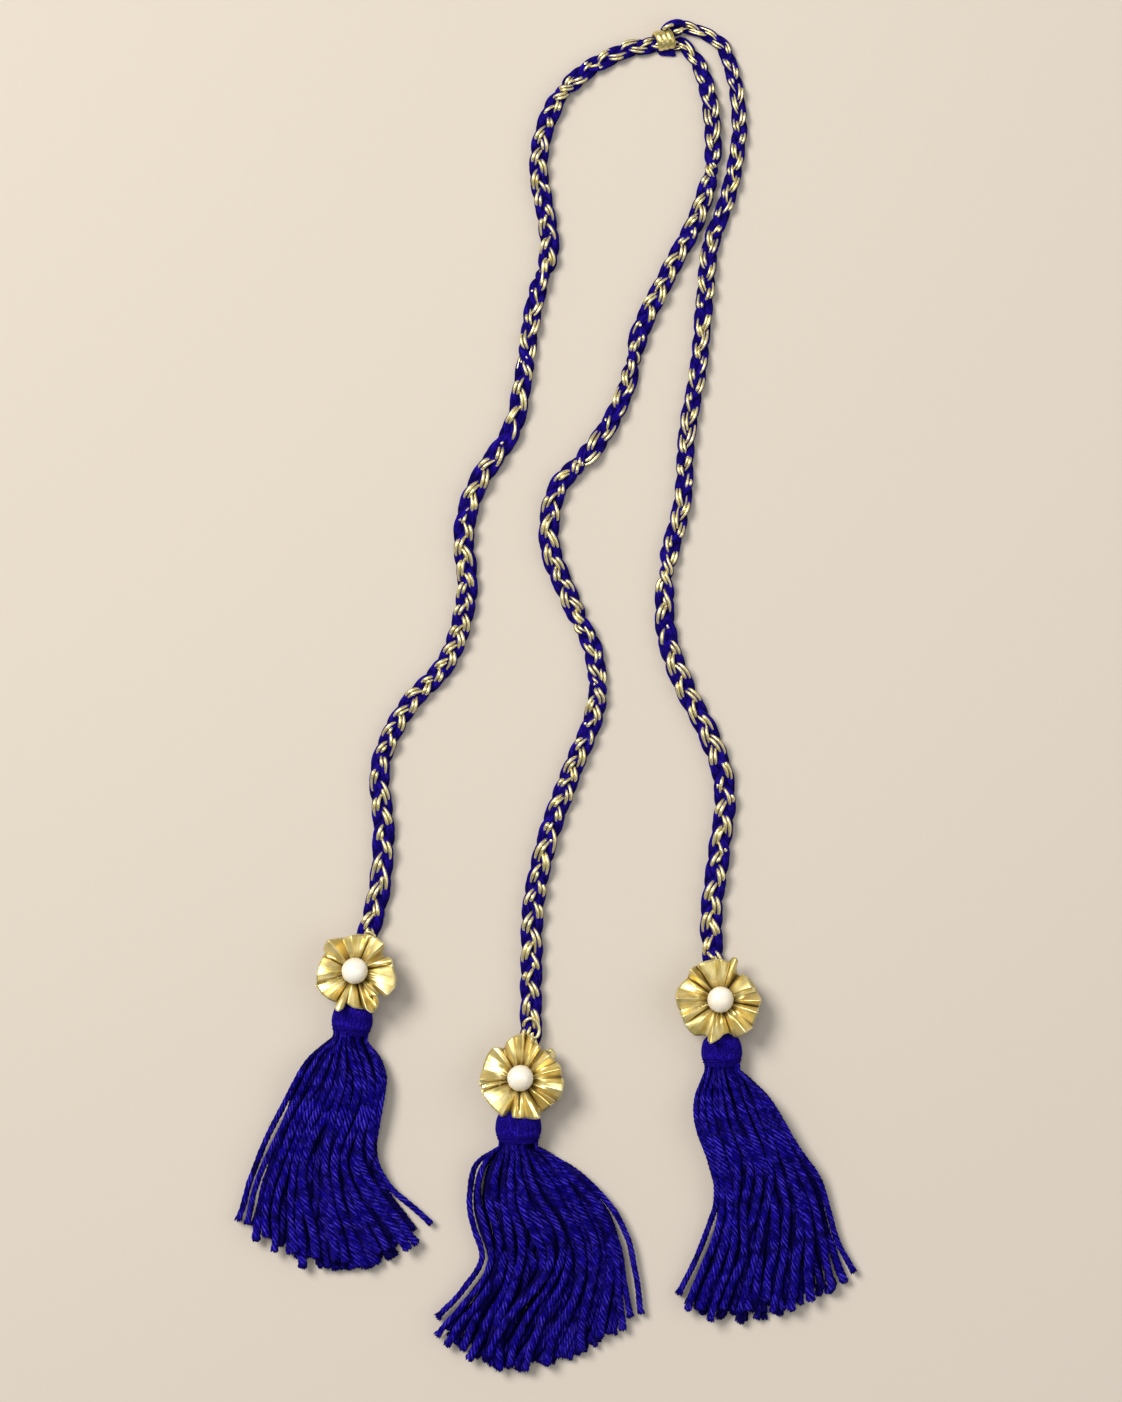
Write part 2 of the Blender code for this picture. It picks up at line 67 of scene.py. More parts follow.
# tassel
HEAD_FLATTEN = 0.90           # a head's height over its width
AXIS_HEIGHT = 0.80            # its axis over the table, in radii
ROOT_RADIUS = 0.76            # the skirt where it leaves the head, in radii
WRAP_WIDTH = 2.4 * MM
WRAP_THREAD = 0.27 * MM       # radius
BALL_FOOT = WRAP_WIDTH + 2 * GAP      # from the skirt's root up to the ball
LOOP_THREAD, LOOP_COUNT = 0.32 * MM, 21    # the short loops on the ball
COLLAR = 1.0 * MM
YARN = 1.06 * MM              # radius of a yarn that hangs free
YARN_PLIES = 5
YARN_PITCH = 7.0 * MM         # one turn of a tightly laid ply
YARN_STEP = 0.90 * MM         # from one ring of points to the next
YARN_FLARE = 1.12             # how much wider a cut end is
YARN_COUNT = 44               # inside; YARNS gives those on top
STATIONS = 50                 # cross-sections in which the yarns settle
SETTLING_ROUNDS = 90
GOLDEN_ANGLE = 2.39996
TUFT_FIBRE, TUFT_COUNT = 0.19 * MM, 20    # radius, and how many at a cut end
HAIR, HAIR_COUNT = 0.045 * MM, 340        # radius, and how many on a skirt

# rosette and pearl
PEARL = 3.92 * MM             # radius
PEARL_SEAT = 5.35 * MM        # its middle over the rosette's foot
DISH = 3.4 * MM               # how far the ribbon rises from its foot
GATHER = 2.3 * MM             # radius of the gathered edge
CRIMP = 2.3 * MM              # from one tight fold under the pearl to the next
GROOVE = 1.9 * MM             # how deep two petals part
PARTED = 0.25                 # a crease lower than this parts them, mm
RIBBON_WIDTH = 10.5 * MM
RIBBON_THICKNESS = 0.26 * MM
RIBBON_PLACES = (640, 18)     # along and across
EDGE_THREAD = 0.10 * MM       # radius of the thread along the free edge
FRAY_THREAD, FRAY_COUNT = 0.125 * MM, 36    # radius, and how many at a cut end

# binding
BIND_LENGTH = 6.6 * MM
BIND_RADIUS = 3.15 * MM
BIND_CORD, BIND_FLATTEN = 1.20 * MM, 0.66    # half the cord's width; height over width
BIND_TURNS = 3.2

# left, middle and right cord, from the binding to the head: x, y in mm
ROUTES = {
    "left": (
        (26.0, 195.9), (21.7, 194.4), (10.0, 187.7), (1.1, 176.1), (-2.4, 160.5),
        (0.3, 143.4), (0.7, 133.4), (-3.7, 118.8), (-6.5, 100.5), (-10.3, 81.6),
        (-20.8, 64.8), (-24.9, 49.5), (-23.8, 32.4), (-29.5, 12.3), (-42.1, -2.4),
        (-49.9, -19.8), (-49.0, -38.4), (-50.2, -56.6), (-54.1, -72.0),
        (-57.2, -82.0)),
    "middle": (
        (43.6, 194.0), (46.2, 190.0), (49.3, 178.5), (49.8, 162.0), (45.4, 145.5),
        (37.6, 130.2), (28.3, 111.0), (23.8, 93.2), (15.1, 77.1), (3.4, 63.6),
        (0.9, 47.1), (7.0, 30.3), (14.3, 13.5), (14.5, -3.6), (7.6, -21.3),
        (0.8, -40.2), (-3.7, -60.0), (-4.6, -81.0), (-5.0, -102.0),
        (-7.2, -112.5)),
    "right": (
        (40.5, 202.4), (43.6, 201.9), (47.2, 200.5), (51.0, 198.4), (53.8, 194.8),
        (56.9, 183.9), (57.8, 169.2), (54.8, 152.4), (49.3, 136.5), (47.5, 120.0),
        (45.6, 99.6), (42.1, 79.5), (40.9, 60.0), (36.3, 40.2), (35.8, 21.6),
        (40.9, 5.1), (49.0, -11.1), (53.6, -27.0), (51.9, -45.6), (49.5, -64.8),
        (50.6, -82.5), (51.8, -91.0)),
}
# where a cord leaves the binding: which face, how far to its side in mm; and
# its real length in metres
Start = namedtuple("Start", "end offset length")
STARTS = {
    "left": Start(-1, -0.5, 0.318),
    "middle": Start(1, -1.9, 0.340),
    "right": Start(1, 2.5, 0.318),
}
# how a plait turns over along its length: distance in mm, degrees
TURNS = {
    "left": ((0, 180), (29, 180), (37, 0), (86, 0), (94, 180), (112, 180), (120, 360),
             (320, 360)),
    "middle": ((0, 180), (40, 180), (48, 360), (102, 360), (111, 540), (138, 540),
               (146, 720), (191, 720), (198, 900), (210, 900), (218, 1080), (340, 1080)),
    "right": ((0, 180), (172, 180), (188, 360), (320, 360)),
}
# how close the plait is: distance in mm, from one lobe to the next on one side
LOBES = {
    "left": ((0, 6.4), (60, 6.6), (110, 7.2), (125, 8.8), (155, 8.8), (200, 5.9), (240, 6.3),
             (262, 9.2), (310, 9.0)),
    "middle": ((0, 6.4), (80, 6.8), (120, 7.6), (170, 7.8), (215, 6.4), (250, 6.4),
               (275, 7.8), (340, 8.4)),
    "right": ((0, 6.6), (100, 7.0), (160, 7.4), (200, 7.6), (240, 8.0), (310, 8.4)),
}

# ends of gold cord that come out of the plaits: x, y, z in mm
CURLS = {
    "left": (((-54.6, -71.4, 5.2), (-54.0, -69.6, 5.6), (-53.2, -68.4, 5.6)),
             ((-54.2, -69.4, 6.0), (-52.8, -69.6, 6.0), (-51.2, -71.0, 5.4))),
    "middle": (((-7.0, -98.2, 4.4), (-6.4, -96.3, 5.0), (-4.6, -95.4, 5.3), (-2.9, -96.6, 5.2),
                (-2.2, -98.9, 5.0), (-2.7, -100.8, 5.2), (-4.0, -101.2, 5.6),
                (-4.5, -100.2, 5.8), (-3.8, -99.6, 5.6)),),
    "right": (((34.9, 200.9, 5.2), (36.2, 201.8, 6.0), (38.2, 202.3, 5.9)),
              ((38.0, 200.4, 5.0), (39.5, 200.7, 5.5), (41.1, 201.4, 5.1)),
              ((48.2, -75.6, 4.2), (49.2, -76.6, 5.4), (50.2, -77.6, 5.6))),
}
# a bit of yarn that bows up where the right cord leaves the binding: x, y, z in mm
BOWS = {
    "right": ((34.5, 200.2, 3.0), (35.6, 201.8, 4.2), (37.4, 202.9, 4.8), (39.6, 203.3, 4.6),
              (41.8, 202.7, 3.6)),
}
# how thick the plait is: distance in mm, share
SIZES = {
    "left": ((0, 0.78), (6, 0.80), (40, 0.92), (85, 0.94), (106, 0.87), (140, 0.98),
             (168, 1.05), (200, 1.01), (225, 0.95), (248, 0.96), (272, 1.10), (320, 1.08)),
    "middle": ((0, 0.62), (8, 0.68), (16, 0.79), (28, 0.85), (50, 0.87), (74, 0.91),
               (100, 0.93), (115, 0.86), (135, 0.95), (165, 1.03), (205, 0.95),
               (240, 1.00), (270, 1.06), (310, 1.10), (340, 1.08)),
    "right": ((0, 0.60), (10, 0.64), (30, 0.73), (60, 0.80), (88, 0.87), (140, 0.86),
              (175, 0.92), (205, 1.02), (250, 1.06), (280, 1.10), (320, 1.08)),
}

# neck: the skirt's root.  turn: the axis, in degrees from -Y.  crown: the
# skirt's thickness at its root; mm
Tassel = namedtuple("Tassel", "neck_x neck_y turn radius crown")
TASSELS = {
    "left": Tassel(-58.8, -100.6, -7.0, 6.15, 8.6),
    "middle": Tassel(-8.5, -132.9, -1.0, 6.90, 9.2),
    "right": Tassel(52.6, -110.0, 1.0, 6.15, 8.6),
}
# how far the body of a skirt stays inside its outermost yarns, left and right,
# as a share of its half width
INSETS = {"left": (0.10, 0.21), "middle": (0.09, 0.18), "right": (0.13, 0.15)}
# a row for each section of a skirt: share of its length, left edge, lowest
# point of the section's bow, right edge, thickness; mm
SKIRTS = {
    "left": (
        (0.2, -73.1, -110.4, -58.9, -115.5, -48.4, -111.9, 8.4),
        (0.4, -78.3, -120.9, -62.8, -129.3, -50.1, -124.6, 7.6),
        (0.6, -83.8, -131.7, -65.4, -143.1, -50.3, -137.3, 7.2),
        (0.8, -88.3, -143.1, -64.0, -157.2, -43.9, -147.6, 6.9),
        (1.0, -93.3, -156.0, -60.4, -171.3, -34.2, -156.9, 6.6)),
    "middle": (
        (0.2, -20.8, -140.4, -2.5, -146.1, 7.6, -141.0, 9.0),
        (0.4, -23.1, -153.6, 4.6, -159.3, 17.3, -150.2, 8.0),
        (0.6, -20.6, -166.8, 7.0, -173.4, 23.8, -160.5, 7.6),
        (0.8, -26.8, -177.0, 1.6, -187.5, 27.3, -172.5, 7.2),
        (1.0, -33.6, -186.9, -7.0, -201.3, 29.0, -184.8, 6.9)),
    "right": (
        (0.2, 44.1, -124.2, 55.9, -125.1, 66.9, -121.3, 8.4),
        (0.4, 47.9, -138.0, 61.1, -139.5, 74.2, -133.8, 7.6),
        (0.6, 49.9, -152.0, 64.6, -154.2, 82.2, -145.8, 7.2),
        (0.8, 45.4, -165.8, 64.3, -169.2, 86.4, -159.6, 6.9),
        (1.0, 39.0, -178.8, 61.6, -186.9, 93.5, -172.5, 6.6)),
}
# a grid over each skirt, in which its yarns are placed: left edge, back edge and
# one step, in mm
Grid = namedtuple("Grid", "left back step")
YARN_GRIDS = {
    "left": Grid(-96.45, -96.0, 0.05),
    "middle": Grid(-36.45, -126.0, 0.05),
    "right": Grid(34.05, -103.5, 0.05556),
}
# the yarns that lie on top and at the edges, from the neck to the cut end:
# steps to the right and steps to the front in the grid
YARNS = {
    "left": (
        ((640, 110), (540, 190), (470, 290), (400, 420), (340, 540), (270, 680), (200, 840),
         (150, 980), (110, 1100), (75, 1200)),
        ((650, 120), (575, 200), (510, 310), (455, 430), (385, 550), (315, 700), (250, 840),
         (195, 980), (160, 1100), (135, 1230)),
        ((660, 120), (590, 230), (520, 350), (440, 480), (370, 610), (315, 760), (275, 880),
         (240, 1000), (215, 1100), (200, 1200), (190, 1320)),
        ((670, 120), (620, 240), (560, 370), (490, 490), (420, 620), (370, 740), (320, 870),
         (280, 980), (250, 1100), (240, 1200), (255, 1300)),
        ((680, 120), (640, 260), (590, 380), (530, 500), (470, 620), (425, 730), (380, 850),
         (350, 960), (310, 1080), (300, 1180), (310, 1290), (305, 1395)),
        ((690, 130), (660, 280), (620, 400), (560, 540), (500, 660), (460, 760), (430, 860),
         (405, 960), (395, 1080), (400, 1180), (410, 1280), (430, 1390)),
        ((700, 140), (705, 300), (700, 440), (640, 550), (560, 640), (510, 740), (480, 840),
         (462, 960), (480, 1060), (515, 1180), (540, 1300), (550, 1420)),
        ((715, 140), (720, 300), (690, 450), (655, 570), (630, 680), (610, 780), (605, 880),
         (622, 1000), (645, 1100), (670, 1200), (700, 1310), (725, 1450)),
        ((745, 130), (762, 230), (800, 330), (800, 430), (770, 540), (720, 650), (680, 760),
         (660, 860), (670, 980), (690, 1080), (720, 1180), (760, 1290), (810, 1390),
         (845, 1480)),
        ((800, 130), (840, 230), (880, 330), (880, 440), (870, 530), (830, 640), (800, 740),
         (815, 830), (857, 934), (917, 1036), (977, 1120), (1041, 1200), (1103, 1284),
         (1157, 1340)),
        ((850, 130), (900, 230), (925, 330), (915, 430), (895, 540), (880, 640), (875, 740),
         (881, 830), (905, 920), (935, 1006), (989, 1086), (1053, 1166), (1133, 1270)),
        ((770, 140), (810, 260), (840, 380), (835, 500), (800, 620), (740, 740), (715, 850),
         (750, 970), (805, 1080), (860, 1170), (920, 1260), (975, 1370)),
        ((820, 150), (860, 300), (870, 450), (850, 600), (800, 720), (780, 830), (810, 950),
         (860, 1040), (920, 1120), (980, 1190), (1040, 1270), (1100, 1375)),
        ((860, 130), (925, 230), (950, 340), (945, 450), (925, 560), (905, 660), (895, 760),
         (905, 850), (950, 950), (1020, 1035), (1100, 1105), (1170, 1170), (1235, 1225)),
        ((730, 150), (745, 300), (740, 450), (700, 580), (660, 690), (620, 800), (600, 900),
         (600, 1000), (612, 1100), (640, 1210), (655, 1320), (665, 1440)),
        ((710, 150), (690, 320), (640, 470), (560, 600), (500, 720), (465, 830), (445, 930),
         (450, 1040), (450, 1150), (455, 1260), (465, 1370), (475, 1495))),
    "middle": (
        ((440, 150), (370, 190), (310, 270), (275, 370), (268, 480), (280, 580), (310, 680),
         (335, 770), (335, 850), (300, 930), (240, 1010), (180, 1080), (120, 1140), (70, 1190)),
        ((450, 155), (390, 210), (345, 290), (318, 390), (320, 480), (338, 570), (368, 650),
         (392, 730), (400, 810), (385, 880), (350, 960), (290, 1040), (230, 1110), (170, 1180),
         (110, 1240), (75, 1300)),
        ((470, 160), (430, 240), (395, 340), (380, 430), (385, 510), (412, 590), (440, 660),
         (450, 740), (440, 820), (425, 900), (390, 980), (350, 1060), (290, 1130), (230, 1200),
         (180, 1270), (130, 1355)),
        ((480, 165), (450, 250), (420, 350), (422, 440), (440, 530), (470, 610), (482, 690),
         (475, 770), (465, 850), (450, 930), (420, 1010), (370, 1080), (320, 1150), (275, 1250),
         (225, 1385)),
        ((500, 170), (490, 260), (480, 350), (476, 450), (490, 550), (502, 640), (512, 720),
         (517, 800), (510, 880), (492, 970), (470, 1050), (430, 1120), (380, 1200), (330, 1300),
         (270, 1440)),
        ((530, 180), (520, 280), (515, 400), (530, 520), (560, 620), (585, 710), (580, 800),
         (555, 900), (530, 980), (500, 1080), (450, 1170), (405, 1290), (365, 1450)),
        ((555, 170), (560, 280), (575, 380), (610, 470), (650, 560), (690, 640), (738, 710),
         (760, 790), (750, 880), (702, 950), (640, 1030), (560, 1110), (490, 1190), (430, 1290),
         (385, 1410)),
        ((600, 170), (620, 280), (650, 380), (690, 460), (740, 540), (790, 620), (822, 700),
         (832, 790), (800, 880), (760, 960), (710, 1040), (660, 1110), (610, 1190), (560, 1290),
         (520, 1390), (520, 1480)),
        ((620, 180), (670, 270), (730, 350), (780, 430), (820, 510), (860, 590), (900, 660),
         (930, 740), (945, 830), (940, 930), (915, 1020), (880, 1110), (830, 1190), (780, 1270),
         (745, 1360), (735, 1465)),
        ((680, 160), (750, 230), (810, 310), (860, 400), (910, 480), (950, 570), (990, 650),
         (1020, 730), (1028, 820), (1012, 920), (990, 1010), (970, 1100), (950, 1190),
         (935, 1290), (945, 1380)),
        ((585, 180), (600, 300), (640, 420), (730, 560), (800, 650), (850, 740), (868, 840),
         (845, 930), (800, 1020), (750, 1110), (700, 1200), (660, 1300), (630, 1380),
         (605, 1500)),
        ((690, 160), (780, 240), (850, 320), (915, 400), (985, 480), (1040, 570), (1085, 660),
         (1110, 750), (1118, 850), (1110, 950), (1095, 1040), (1075, 1130), (1060, 1220),
         (1050, 1300)),
        ((700, 160), (790, 220), (860, 290), (930, 360), (1005, 440), (1060, 520), (1105, 610),
         (1140, 700), (1165, 790), (1183, 890), (1200, 990), (1215, 1080), (1235, 1180)),
        ((700, 165), (800, 260), (880, 340), (960, 420), (1030, 510), (1080, 600), (1120, 700),
         (1145, 800), (1155, 900), (1160, 1000), (1172, 1110), (1195, 1265)),
        ((720, 170), (820, 240), (905, 310), (990, 385), (1070, 460), (1135, 540), (1182, 630),
         (1217, 720), (1247, 820), (1267, 920), (1282, 1020), (1292, 1100), (1300, 1165)),
        ((545, 180), (545, 320), (560, 440), (600, 560), (650, 660), (700, 760), (715, 850),
         (690, 930), (640, 1010), (570, 1090), (500, 1160), (450, 1250), (440, 1370),
         (455, 1500))),
    "right": (
        ((240, 150), (200, 260), (195, 380), (225, 500), (270, 610), (300, 700), (305, 790),
         (298, 880), (262, 980), (230, 1080), (190, 1170), (150, 1260), (100, 1350)),
        ((265, 140), (235, 260), (230, 380), (262, 500), (312, 620), (332, 720), (335, 830),
         (325, 930), (298, 1040), (262, 1130), (225, 1220), (180, 1310), (150, 1425)),
        ((300, 140), (265, 230), (265, 340), (290, 450), (320, 560), (350, 660), (370, 760),
         (380, 850), (370, 960), (350, 1060), (320, 1160), (270, 1270), (215, 1420)),
        ((320, 170), (330, 280), (342, 390), (380, 490), (410, 580), (415, 680), (410, 780),
         (400, 870), (400, 970), (400, 1060), (380, 1150), (350, 1240), (310, 1340), (268, 1480)),
        ((350, 220), (380, 350), (410, 450), (450, 550), (488, 640), (480, 730), (455, 830),
         (445, 930), (455, 1030), (450, 1120), (425, 1200), (380, 1290), (335, 1420)),
        ((370, 150), (400, 240), (440, 340), (482, 450), (530, 560), (570, 660), (592, 760),
         (612, 860), (620, 960), (618, 1060), (600, 1150), (580, 1250), (577, 1375)),
        ((420, 150), (452, 250), (492, 350), (540, 450), (580, 560), (598, 660), (590, 760),
         (570, 850), (550, 940), (535, 1030), (510, 1130), (488, 1230), (455, 1330), (430, 1440)),
        ((340, 200), (370, 330), (420, 440), (480, 550), (530, 640), (535, 740), (520, 830),
         (500, 920), (475, 1010), (455, 1100), (460, 1200), (470, 1310), (480, 1430)),
        ((440, 140), (500, 240), (540, 340), (580, 450), (610, 560), (635, 660), (660, 760),
         (682, 850), (682, 940), (668, 1030), (668, 1130), (650, 1230), (635, 1330), (600, 1440)),
        ((450, 140), (530, 250), (580, 350), (620, 460), (660, 570), (705, 680), (735, 790),
         (755, 890), (760, 990), (745, 1090), (728, 1190), (725, 1300), (700, 1430)),
        ((480, 130), (560, 240), (605, 340), (655, 440), (715, 540), (775, 630), (825, 730),
         (858, 830), (880, 930), (905, 1020), (930, 1100), (960, 1190), (995, 1290)),
        ((470, 130), (545, 240), (595, 350), (640, 460), (700, 570), (755, 670), (800, 770),
         (832, 870), (858, 960), (880, 1050), (892, 1130), (905, 1210), (930, 1315)),
        ((460, 135), (540, 260), (590, 380), (630, 500), (680, 610), (730, 720), (770, 830),
         (795, 930), (805, 1030), (805, 1130), (800, 1230), (820, 1375)),
        ((490, 130), (575, 240), (615, 330), (665, 430), (725, 510), (785, 590), (838, 680),
         (872, 770), (900, 870), (928, 970), (955, 1060), (995, 1140), (1055, 1225)),
        ((395, 150), (425, 260), (460, 370), (505, 480), (550, 590), (580, 700), (580, 800),
         (565, 900), (560, 1000), (540, 1100), (525, 1200), (520, 1320), (500, 1440)),
        ((300, 150), (300, 260), (310, 370), (345, 470), (380, 570), (390, 680), (385, 780),
         (375, 880), (350, 980), (330, 1080), (295, 1180), (250, 1290), (200, 1430))),
}

# rosette: middle, seat height and tilt; mm and degrees
Rosette = namedtuple("Rosette", "x y seat tilt")
ROSETTES = {
    "left": Rosette(-57.2, -81.5, 5.8, 8.0),
    "middle": Rosette(-7.8, -113.7, 5.8, 10.0),
    "right": Rosette(51.9, -90.2, 5.5, 9.0),
}
# the ribbon's free edge from one cut end round to the other: degrees, radius,
# height over the dish, and how far behind it the gathered edge is; mm, degrees
RIMS = {
    "left": (
        (190, 11.2, 0.9), (200, 12.3, 1.2), (213, 12.0, 1.4), (226, 11.5, 1.3),
        (238, 10.8, 0.5), (240.5, 11.4, 0.6), (242, 12.1, 1.5), (244.5, 12.8, 2.4),
        (249, 13.1, 2.5), (253, 11.9, 2.0), (254, 11.0, 1.5), (252, 9.8, 0.3),
        (250.5, 9.5, 0.2), (254, 9.6, 1.0), (258, 10.0, 1.5), (268, 10.9, 1.2),
        (281, 11.4, 0.5), (284, 11.5, 0.7), (287.5, 12.2, 2.3), (291, 13.4, 2.0),
        (297, 13.3, 1.3), (303, 12.8, 1.7), (309, 11.6, 2.5), (311.5, 10.2, 2.7),
        (306, 9.2, 2.5), (300, 9.0, 1.6), (304, 9.2, 0.8), (312, 9.8, 0.5),
        (320, 9.9, 0.6), (324, 10.5, 1.3), (319.5, 11.7, 2.1), (324, 12.4, 2.4),
        (338, 13.1, 2.1), (351, 12.6, 1.8), (366, 11.5, 1.6), (376, 11.7, 1.8),
        (383, 11.0, 1.3), (380, 10.2, 0.3), (386, 9.7, 0.2), (392.5, 9.5, 0.5),
        (397, 10.4, 1.2), (399, 11.4, 2.3), (403, 11.8, 2.7), (416, 11.8, 2.2),
        (430, 11.5, 1.7), (438, 11.2, 1.2), (446, 11.0, 1.6), (455, 10.5, 2.2),
        (463, 10.4, 1.9), (472, 10.3, 1.5), (473, 10.3, 0.8), (469, 10.7, 0.3),
        (476, 11.1, 0.7), (491, 12.1, 2.3), (496, 12.0, 1.9), (503, 11.7, 1.2),
        (506.5, 11.2, 0.8), (504, 10.7, 0.3), (510, 10.5, 0.5), (517, 10.6, 1.1),
        (532, 10.9, 1.4), (546, 11.4, 1.5), (558, 11.9, 1.3)),
    "middle": (
        (179, 11.5, 0.8), (188, 12.0, 1.1), (204, 12.2, 1.4), (221, 12.0, 1.6),
        (236, 12.2, 1.6), (244, 12.6, 1.4), (248, 11.8, 0.8), (250.5, 10.6, 0.3),
        (253, 9.9, 0.1), (255, 10.2, 0.6), (258, 11.5, 1.6), (261, 11.9, 1.9),
        (270, 11.8, 1.3), (277, 11.8, 0.8), (283, 12.4, 1.7), (289, 13.0, 2.4),
        (295, 13.4, 2.7), (298, 12.9, 1.7), (295, 12.0, 0.7), (301, 11.7, 0.4),
        (308, 12.0, 0.9), (315, 12.2, 2.0), (318, 12.2, 2.5), (322, 12.3, 1.6),
        (325, 12.6, 0.5), (329.5, 12.9, 0.5), (334, 13.2, 1.6), (343, 13.2, 2.4),
        (352, 13.1, 2.2), (358, 12.9, 1.7), (361, 12.6, 0.9), (363.5, 12.3, 0.8),
        (366, 12.3, 1.6), (372, 12.5, 2.4), (379, 12.3, 1.8), (385, 11.8, 1.3),
        (390, 11.3, 2.0), (397, 10.9, 2.9), (405, 10.8, 2.3), (408.5, 10.9, 1.9),
        (408, 11.4, 1.2), (401, 12.3, 0.5), (391, 12.5, 0.2), (396, 13.0, 0.3),
        (404, 13.1, 0.5), (407, 12.2, 0.3), (411, 10.9, 0.2), (416.5, 10.8, 0.3),
        (418.5, 11.0, 0.9), (416, 11.0, 1.7), (421, 11.3, 2.1), (428.5, 11.5, 1.5),
        (431, 12.1, 1.7), (433.5, 12.6, 2.5), (440, 13.2, 1.7), (443, 13.5, 1.4),
        (446, 13.5, 2.7), (457, 12.7, 1.7), (461, 12.4, 2.0), (469, 11.8, 1.8),
        (473, 11.2, 1.2), (477, 10.6, 0.3), (480, 10.5, 0.3), (485, 11.3, 1.0),
        (491, 12.5, 0.9), (502, 12.3, 0.4), (512, 12.0, 0.2), (526, 11.7, 0.3),
        (533, 11.8, 0.9), (541, 12.1, 1.6), (549.5, 12.4, 1.5)),
    "right": (
        (190, 12.2, 0.7), (198, 12.7, 1.2), (204, 12.5, 1.7), (214, 12.9, 1.3),
        (224, 13.0, 1.1), (234, 13.0, 0.7), (241, 11.9, 0.4),
        (246, 11.2, 0.4, 8), (253, 11.6, 0.4, 22), (252.5, 12.6, 1.4, 32),
        (254, 13.1, 2.4, 34), (257, 13.6, 2.7, 30), (262, 12.7, 2.4, 20),
        (268, 11.6, 2.0, 10), (276, 10.2, 1.5, 4), (284, 10.0, 0.9), (288, 10.6, 0.4),
        (291, 11.8, 0.8), (296, 12.4, 1.5), (303, 12.5, 2.3), (307, 12.4, 2.6),
        (313, 12.5, 1.9), (319, 12.7, 1.2), (322, 12.3, 0.8), (328, 12.0, 1.5),
        (336, 11.8, 2.3), (340, 11.7, 2.5), (346, 11.7, 1.6), (350, 11.8, 0.9),
        (354, 12.0, 1.4), (358, 12.2, 2.0), (362, 12.1, 1.6), (368, 11.7, 1.0),
        (373, 11.4, 0.7), (381, 11.3, 0.8), (389, 11.2, 0.7), (397, 11.0, 0.6),
        (401, 10.8, 1.0), (394, 10.4, 1.4), (382, 10.0, 1.8), (376.5, 9.8, 2.4),
        (381, 10.0, 3.0), (392, 10.1, 2.6), (402, 10.3, 2.1), (408, 10.2, 1.7),
        (409.5, 9.8, 0.8), (412, 9.6, 0.2), (418, 9.7, 0.1), (421.5, 10.3, 0.3),
        (424, 11.6, 1.2), (425.5, 12.7, 1.9), (429, 13.3, 2.2), (432.5, 13.3, 1.9),
        (435, 12.4, 1.2), (437, 11.4, 0.8), (435.5, 11.3, 2.0), (440, 11.5, 2.4),
        (449, 11.9, 2.8), (458, 12.1, 2.0), (463, 12.1, 2.1), (472, 12.2, 2.4),
        (481, 12.3, 2.4), (483.5, 12.2, 1.9), (482, 12.0, 1.0), (478, 12.1, 0.3),
        (485, 12.6, 0.3), (490, 12.8, 1.4), (495, 12.6, 2.3), (500, 12.2, 1.2), (505, 11.8, 0.4),
        (515, 12.4, 0.5), (525, 13.2, 0.6), (531, 13.4, 1.6), (539, 13.3, 2.7), (547, 13.0, 1.8),
        (554, 12.6, 1.1), (561, 11.8, 1.3, 14)),
}
# folds next to the pearl: degrees, height over the dish; mm
CREASES = {
    "left": (
        (10, 0.1), (22, 1.9), (35, 2.1), (50, 1.5), (66, 0.1), (75, 1.3), (95, 1.8), (108, 1.6),
        (112, 0.1), (122, 0.9), (133, 1.9), (148, 1.4), (154, 0.1), (170, 1.2), (182, 1.6),
        (192, 0.5), (198, 0.2), (212, 1.6), (228, 1.5), (239, 0.1), (250, 1.4), (262, 1.9),
        (274, 1.2), (280, 0.2), (288, 1.9), (296, 1.0), (304, 0.2), (314, 0.9), (322, 0.1),
        (334, 1.6), (350, 2.1), (364, 1.6)),
    "middle": (
        (2, 1.6), (12, 1.9), (20, 0.9), (27, 1.8), (38, 1.7), (47, 0.1), (56, 1.5), (70, 1.9),
        (77, 1.0), (86, 2.1), (93, 0.7), (103, 1.8), (115, 1.4), (122, 0.1), (132, 1.4),
        (141, 0.8), (152, 1.9), (168, 1.6), (178, 0.6), (185, 0.1), (192, 0.9), (198, 0.1),
        (210, 1.5), (224, 1.8), (236, 0.9), (248, 1.6), (260, 0.6), (267, 0.1), (276, 1.5),
        (288, 2.1), (298, 1.2), (304, 0.2), (314, 1.9), (321, 1.0), (327, 0.4), (336, 2.0),
        (346, 0.9), (352, 0.5)),
    "right": (
        (5, 0.9), (14, 1.8), (28, 2.1), (42, 1.6), (56, 0.1), (68, 1.5), (86, 2.1), (104, 1.5),
        (116, 1.2), (124, 0.1), (134, 1.6), (144, 0.2), (153, 2.0), (163, 1.0), (172, 1.9),
        (182, 0.3), (188, 0.8), (195, 0.1), (206, 1.2), (214, 0.2), (228, 1.9), (240, 1.2),
        (250, 1.9), (262, 1.0), (272, 1.7), (286, 0.1), (298, 1.9), (310, 1.2), (318, 2.0),
        (328, 0.3), (338, 1.8), (350, 0.2)),
}
# middle in mm, and the axis' turn from +X in degrees
BINDING = (35.3, 198.2, 12.0)
TUCKED = (36.0, 194.9, -4.0)
TUCKED_LENGTH = 6.0 * MM


# ---------------------------------------------------------------- shapes

